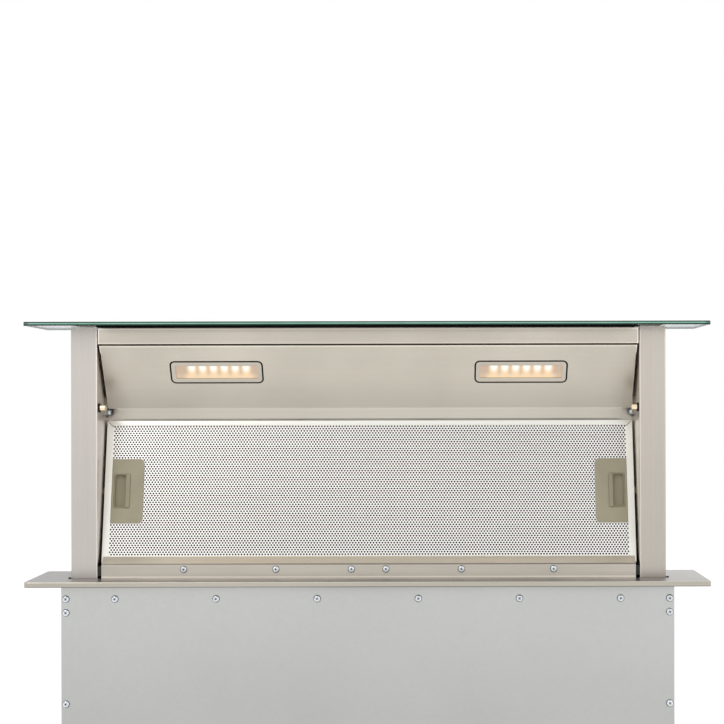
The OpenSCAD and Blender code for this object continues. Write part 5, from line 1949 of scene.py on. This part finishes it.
@dataclass
class Latch:
    """One latch: its plate with the pocket, and the slider with its finger recess."""

    middle: float = 320.95
    down: float = 95.0
    size: Pair = (41.9, 86.0)
    corner: float = 6.0
    face: float = -0.5
    window: Pair = (317.5, 339.1)
    window_half: float = 22.9
    pocket: float = 8.0
    slider: Pair = (321.8, 338.8)
    recess: Pair = (323.0, 337.6)
    recess_half: float = 21.5
    slider_back: float = 6.6
    grip: Pair = (317.5, 323.0)
    bolt_y: float = 2.5
    bolt: Pair = (3.0, 8.0)
    bolt_tip: float = 353.5

    def plate(self) -> Piece:
        """Build the right plate with its window and pocket.

        Returns:
            The plate, in the row frame.
        """
        z, (w, h) = -self.down, (self.size[0] / 2, self.size[1] / 2)
        plate = Bench.box("right_latch_cover", (self.middle - w, self.face, z - h),
                          (self.middle + w, 1.0, z + h))
        Bench.bevel(plate, self.corner, 6, lambda at, run: abs(run.y) > 0.9 and at.x < self.middle)
        Bench.bevel(plate, 0.4, 3, lambda at, run: at.y < self.face + NEAR and abs(run.y) < 0.1)
        (x0, x1), half = self.window, self.window_half
        Bench.cut(plate, Bench.plaque("window", (x0, -3, z - half), (x1, 3, z + half), 2.2, 5))
        pocket = Bench.plaque("pocket", (x0 - 1.5, 0.9, z - half - 1.5),
                              (x1 + 1.5, self.pocket, z + half + 1.5), 2.5, 5)
        Bench.cut(pocket, Bench.plaque("bay", (x0, -1, z - half), (x1, 7.0, z + half), 2.2, 5),
                  Bench.box("slot", (336, self.bolt_y - 0.3, z - 4.3), (345, self.bolt_y + 3.3, z + 4.3)))
        Bench.join(plate, pocket)
        return Bench.put(plate, LAYOUT.filter_frame)

    def slider_block(self) -> Piece:
        """Build the right slider with its scooped recess, grip and bolt.

        Returns:
            The slider, in the row frame.
        """
        z, half = -self.down, self.recess_half + 1.0
        block = Bench.plaque("right_latch_slide", (self.slider[0], self.face - 0.05, z - half),
                             (self.slider[1], self.slider_back, z + half), 2.0, 5)
        scoop = Bench.plaque("scoop", (self.recess[0], -3, z - self.recess_half),
                             (self.recess[1], self.slider_back - 1.2, z + self.recess_half), 3.2, 6)
        Bench.bevel(scoop, 1.8, 4, lambda at, run: at.y > self.slider_back - 1.3 and abs(run.y) < 0.1)
        Bench.cut(block, scoop)
        Bench.soften(block, 0.3, 2, 45)
        grip = Bench.plaque("grip", (self.grip[0], self.face - 1.7, z - half),
                            (self.grip[1], self.face - 0.3, z + half), 1.6, 4)
        Bench.bevel(grip, 0.65, 4, lambda at, run: at.y < self.face - 1.6 and abs(run.y) < 0.1)
        web = Bench.box("web", (self.slider[0], self.face - 0.4, z - half + 1),
                        (self.slider[0] + 1.2, self.face + 1, z + half - 1))
        bolt = Bench.box("bolt", (self.slider[1] - 0.5, self.bolt_y, z - self.bolt[1] / 2),
                         (self.bolt_tip, self.bolt_y + self.bolt[0], z + self.bolt[1] / 2))
        Bench.bevel(bolt, 0.8, 3, lambda at, run: at.x > self.bolt_tip - NEAR)
        Bench.join(block, grip, web, bolt)
        return Bench.put(block, LAYOUT.filter_frame)

    def build(self, shop: Shop) -> None:
        """Build both latches.

        Args:
            shop: Takes the pieces.
        """
        plate, slide = self.plate(), self.slider_block()
        pairs = ((plate, slide, Side.RIGHT, Body.RIGHT_LATCH),
                 (Bench.mirror(plate, "left_latch_cover"), Bench.mirror(slide, "left_latch_slide"),
                  Side.LEFT, Body.LEFT_LATCH))
        for cover, block, side, body in pairs:
            shop.deliver(cover, Body.FILTER, "latch_plastic", Finishes.LATCH, f"{side.word}_latch_plate")
            shop.deliver(block, body, "slider_plastic", Finishes.SLIDER, f"{side.word}_latch_slider")


@dataclass
class Blower:
    """The blower's box with its cover, duct spigot, control box and cable gland."""

    half: float = 170.0
    front: float = -230.0
    foot: float = -712.0
    top: float = -392.0
    spigot: Pair = (-130.0, -480.0)
    spigot_r: float = 74.5
    spigot_len: float = 50.0
    wall: float = 1.5
    control_x: float = -100.0
    control: Triple = (140.0, 80.0, 60.0)

    def cover(self) -> Piece:
        """Build the front cover with its raised field and rounded rim.

        Returns:
            The cover.
        """
        y = self.front
        cover = Bench.box("blower_cover_sheet", (-self.half, y, self.foot), (self.half, y + 1.2, self.top))
        Bench.edit(cover, Part.FACES, lambda at, normal: normal.y < -0.9)
        bpy.ops.mesh.inset(thickness=22 * MM)
        bpy.ops.mesh.inset(thickness=4 * MM, depth=-0.9 * MM)
        Bench.done()
        Bench.soften(cover, 0.5, 3, 20)
        return cover

    def duct(self) -> Piece:
        """Build the spigot with its flange, wall and lead-in.

        Returns:
            The spigot.
        """
        y, z = self.spigot
        r = self.spigot_r
        outer = Bench.rod("duct_collar", (self.half, y, z), "x", r, self.spigot_len, 96)
        Bench.bevel(outer, 1.0, 3, lambda at, run: at.x > self.half + self.spigot_len - NEAR)
        Bench.cut(outer, Bench.rod("bore", (self.half - 5, y, z), "x", r - self.wall, 70, 96))
        flange = Bench.box("flange", (self.half, y - r + 4, z - r + 4), (self.half + 2, y + r - 4, z + r - 4))
        Bench.bevel(flange, 10, 6, lambda at, run: abs(run.x) > 0.9)
        Bench.cut(flange, Bench.rod("bore", (self.half - 5, y, z), "x", r - self.wall, 20, 96))
        Bench.soften(flange, 0.4, 2, 50)
        return Bench.join(outer, flange)

    def controls(self) -> Piece:
        """Build the control box with its lid seam and rounded edges.

        Returns:
            The control box.
        """
        (w, d, h), y = (self.control[0] / 2, self.control[1] / 2, self.control[2]), self.spigot[0]
        x, z = self.control_x, self.top
        case = Bench.slab("control_case", (x - w, y - d, z), (x + w, y + d, z + h - 12), 6, 6)
        Bench.drop(case, lambda at, normal: normal.z < -0.9)
        Bench.thicken(case, 2.0)
        lid = Bench.slab("lid", (x - w, y - d, z + h - 11.4), (x + w, y + d, z + h), 6, 6)
        Bench.bevel(lid, 1.8, 4, lambda at, run: abs(run.z) < 0.1 and at.z > z + h - NEAR)
        Bench.edit(lid, Part.FACES, lambda at, normal: normal.z > 0.95)
        bpy.ops.mesh.inset(thickness=6 * MM)
        bpy.ops.mesh.inset(thickness=1.0 * MM, depth=-0.8 * MM)
        Bench.done()
        seam = Bench.slab("seam", (x - w + 1, y - d + 1, z + h - 12.2),
                          (x + w - 1, y + d - 1, z + h - 11.2), 5, 6)
        return Bench.join(case, lid, seam)

    def gland(self) -> Piece:
        """Build the cable gland: hexagon, dome nut and bored throat.

        Returns:
            The gland.
        """
        x, y, z = self.control_x - self.control[0] / 2, self.spigot[0], self.top + self.control[2] / 2
        hexagon = Bench.rod("cable_gland_body", (x - 6, y, z), "x", 10, 6, 6)
        Bench.soften(hexagon, 0.7, 2, 40)
        dome = Bench.rod("dome", (x - 16, y, z), "x", 8, 10.5, 40)
        Bench.bevel(dome, 2.2, 4, lambda at, run: at.x < x - 15.9)
        neck = Bench.rod("neck", (x - 1, y, z), "x", 6.9, 9, 32)
        Bench.join(hexagon, dome, neck)
        return Bench.cut(hexagon, Bench.rod("bore", (x - 20, y, z), "x", 4, 40, 32))

    def build(self, shop: Shop) -> None:
        """Build the blower's outer pieces and dress the rest.

        Args:
            shop: Takes the pieces.
        """
        cover = self.cover()
        screw = PanScrew(*LAYOUT.screw)
        inset = 10
        heads = screw.row("blower_cover_screws", [
            (sx * (self.half - inset), self.front, z) for sx in (-1, 1)
            for z in (self.foot + inset, self.top - inset)])
        shop.deliver(cover, Body.HOUSING, "galvanised_sheet", Finishes.GALVANISED, "blower_cover")
        shop.deliver(heads, Body.HOUSING, "zinc_plate", Finishes.ZINC)
        shop.deliver(self.duct(), Body.HOUSING, "black_plastic", Finishes.BLACK_PLASTIC, "outlet_spigot")
        shop.deliver(self.controls(), Body.HOUSING, "black_plastic", Finishes.BLACK_PLASTIC, "control_box")
        shop.deliver(self.gland(), Body.HOUSING, "black_plastic", Finishes.BLACK_PLASTIC, "cable_gland")
        shop.dress(Finishes.GALVANISED, "blower_box")
        shop.dress(Finishes.SCROLL, "blower_scroll", "scroll_front", "scroll_back")
        shop.dress(Finishes.ZINC, "impeller_hub", "impeller_blades", "impeller_rim")
        shop.dress(Finishes.BLACK_PLASTIC, "inlet_ring")
        shop.dress(Finishes.PAINT, "fan_motor")
        shop.dress(Finishes.CONTROL_BOARD, "control_board")


@dataclass
class Lift:
    """The slides and the actuator, kept as the frame has them."""

    slides: Tuple[str, ...] = ("left_slide_outer", "right_slide_outer", "left_slide_middle",
                               "right_slide_middle", "left_slide_inner", "right_slide_inner")
    zinc: Tuple[str, ...] = ("actuator_foot", "actuator_lower_pin", "actuator_rod",
                             "actuator_head_bracket", "actuator_upper_pin")
    black: Tuple[str, ...] = ("actuator_tube", "actuator_gear_case")

    def build(self, shop: Shop) -> None:
        """Dress the lift's nodes.

        Args:
            shop: Dresses them.
        """
        shop.dress(Finishes.ZINC, *self.slides, *self.zinc)
        shop.dress(Finishes.PAINT, *self.black)


@dataclass
class Studio:
    """Camera, lamps, white surroundings and floor."""

    eye: Triple = (78.0, -1889.0, 240.0)
    lens: float = 71.15
    shift: Pair = (-0.0912, 0.0514)
    roll: float = 0.12
    world_light: float = 0.75
    floor_z: float = -712.0
    floor_glow: float = 0.36

    def camera(self) -> None:
        """Place the camera at the photograph's viewpoint."""
        data = bpy.data.cameras.new("camera")
        data.lens, data.sensor_width = self.lens, 36.0
        data.shift_x, data.shift_y = self.shift
        data.clip_start, data.clip_end = 0.05, 60.0
        eye = bpy.data.objects.new("camera", data)
        eye.location = Vector(self.eye) * MM
        eye.rotation_euler = (math.pi / 2, math.radians(self.roll), 0)
        bpy.context.scene.collection.objects.link(eye)
        bpy.context.scene.camera = eye

    @staticmethod
    def lamp(name: str, place: Triple, aim: Triple, size: float, power: float) -> None:
        """Add a soft square lamp.

        Args:
            name: Its name.
            place: Where it hangs, in metres.
            aim: What it points at, in metres.
            size: Its side in metres.
            power: Its power in watts.
        """
        data = bpy.data.lights.new(name, "AREA")
        data.shape, data.size, data.energy = "SQUARE", size, power
        data.color = (1.0, 0.985, 0.96)
        lamp = bpy.data.objects.new(name, data)
        lamp.location = place
        lamp.rotation_euler = (Vector(aim) - Vector(place)).to_track_quat("-Z", "Y").to_euler()
        bpy.context.scene.collection.objects.link(lamp)

    def world(self) -> None:
        """Surround the hood with white that the camera, gloss and glass see in full."""
        world = bpy.data.worlds.new("studio")
        bpy.context.scene.world = world
        world.use_nodes = True
        tree = world.node_tree
        back = tree.nodes["Background"]
        back.inputs["Color"].default_value = (1, 1, 1, 1)
        seen = Groups.seen(tree)
        level = Groups.math(tree, "MULTIPLY_ADD", seen, 1.0 - self.world_light, self.world_light)
        tree.links.new(level, back.inputs["Strength"])

    def floor(self) -> None:
        """Lay a pale floor that stays white to the camera and gloss and keeps the shadow."""
        Bench.clear()
        bpy.ops.mesh.primitive_plane_add(size=16.0, location=(0, 0, self.floor_z * MM))
        floor = Bench.settle("floor")
        material = bpy.data.materials.new("pale floor")
        material.use_nodes = True
        tree = material.node_tree
        shader = tree.nodes["Principled BSDF"]
        noise = Groups.noise(tree, tree.nodes.new("ShaderNodeTexCoord").outputs["Object"], 3.0, 3.0)
        tone = Groups.ramp(tree, noise.outputs["Fac"], 0.2, 0.8, 0.84, 0.88)
        tree.links.new(Groups.grey(tree, tone), shader.inputs["Base Color"])
        shader.inputs["Roughness"].default_value = 0.9
        shader.inputs["Specular IOR Level"].default_value = 0.1
        seen = Groups.seen(tree)
        glow = Groups.math(tree, "MULTIPLY", seen, self.floor_glow)
        shader.inputs["Emission Color"].default_value = (1, 1, 1, 1)
        tree.links.new(glow, shader.inputs["Emission Strength"])
        floor.data.materials.append(material)

    def build(self) -> None:
        """Set up the whole studio."""
        bpy.context.scene.view_settings.view_transform = "Standard"
        self.camera()
        self.world()
        self.floor()
        self.lamp("key", (-1.6, -2.4, 2.4), (0, 0, 0.1), 1.8, 26.0)
        self.lamp("fill", (2.2, -2.0, 1.2), (0, 0, 0.0), 2.0, 12.0)
        self.lamp("back", (0.4, 2.6, 2.0), (0, 0, 0.0), 1.8, 14.0)


def main() -> None:
    """Build the hood on its frame and set up the studio."""
    logging.basicConfig(level=logging.INFO, format="%(name)s: %(message)s")
    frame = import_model()
    Studio().build()
    shop = Shop(frame)
    for unit in (WorktopTrim(), Housing(), Tower(), GlassTop(), BottomRail(), LampPanel(),
                 GreaseFilter(), Latch(), Blower(), Lift()):
        LOG.info("building %s", type(unit).__name__)
        unit.build(shop)
    LOG.info("%d new pieces", len(shop.made))


if __name__ == "__main__":
    main()
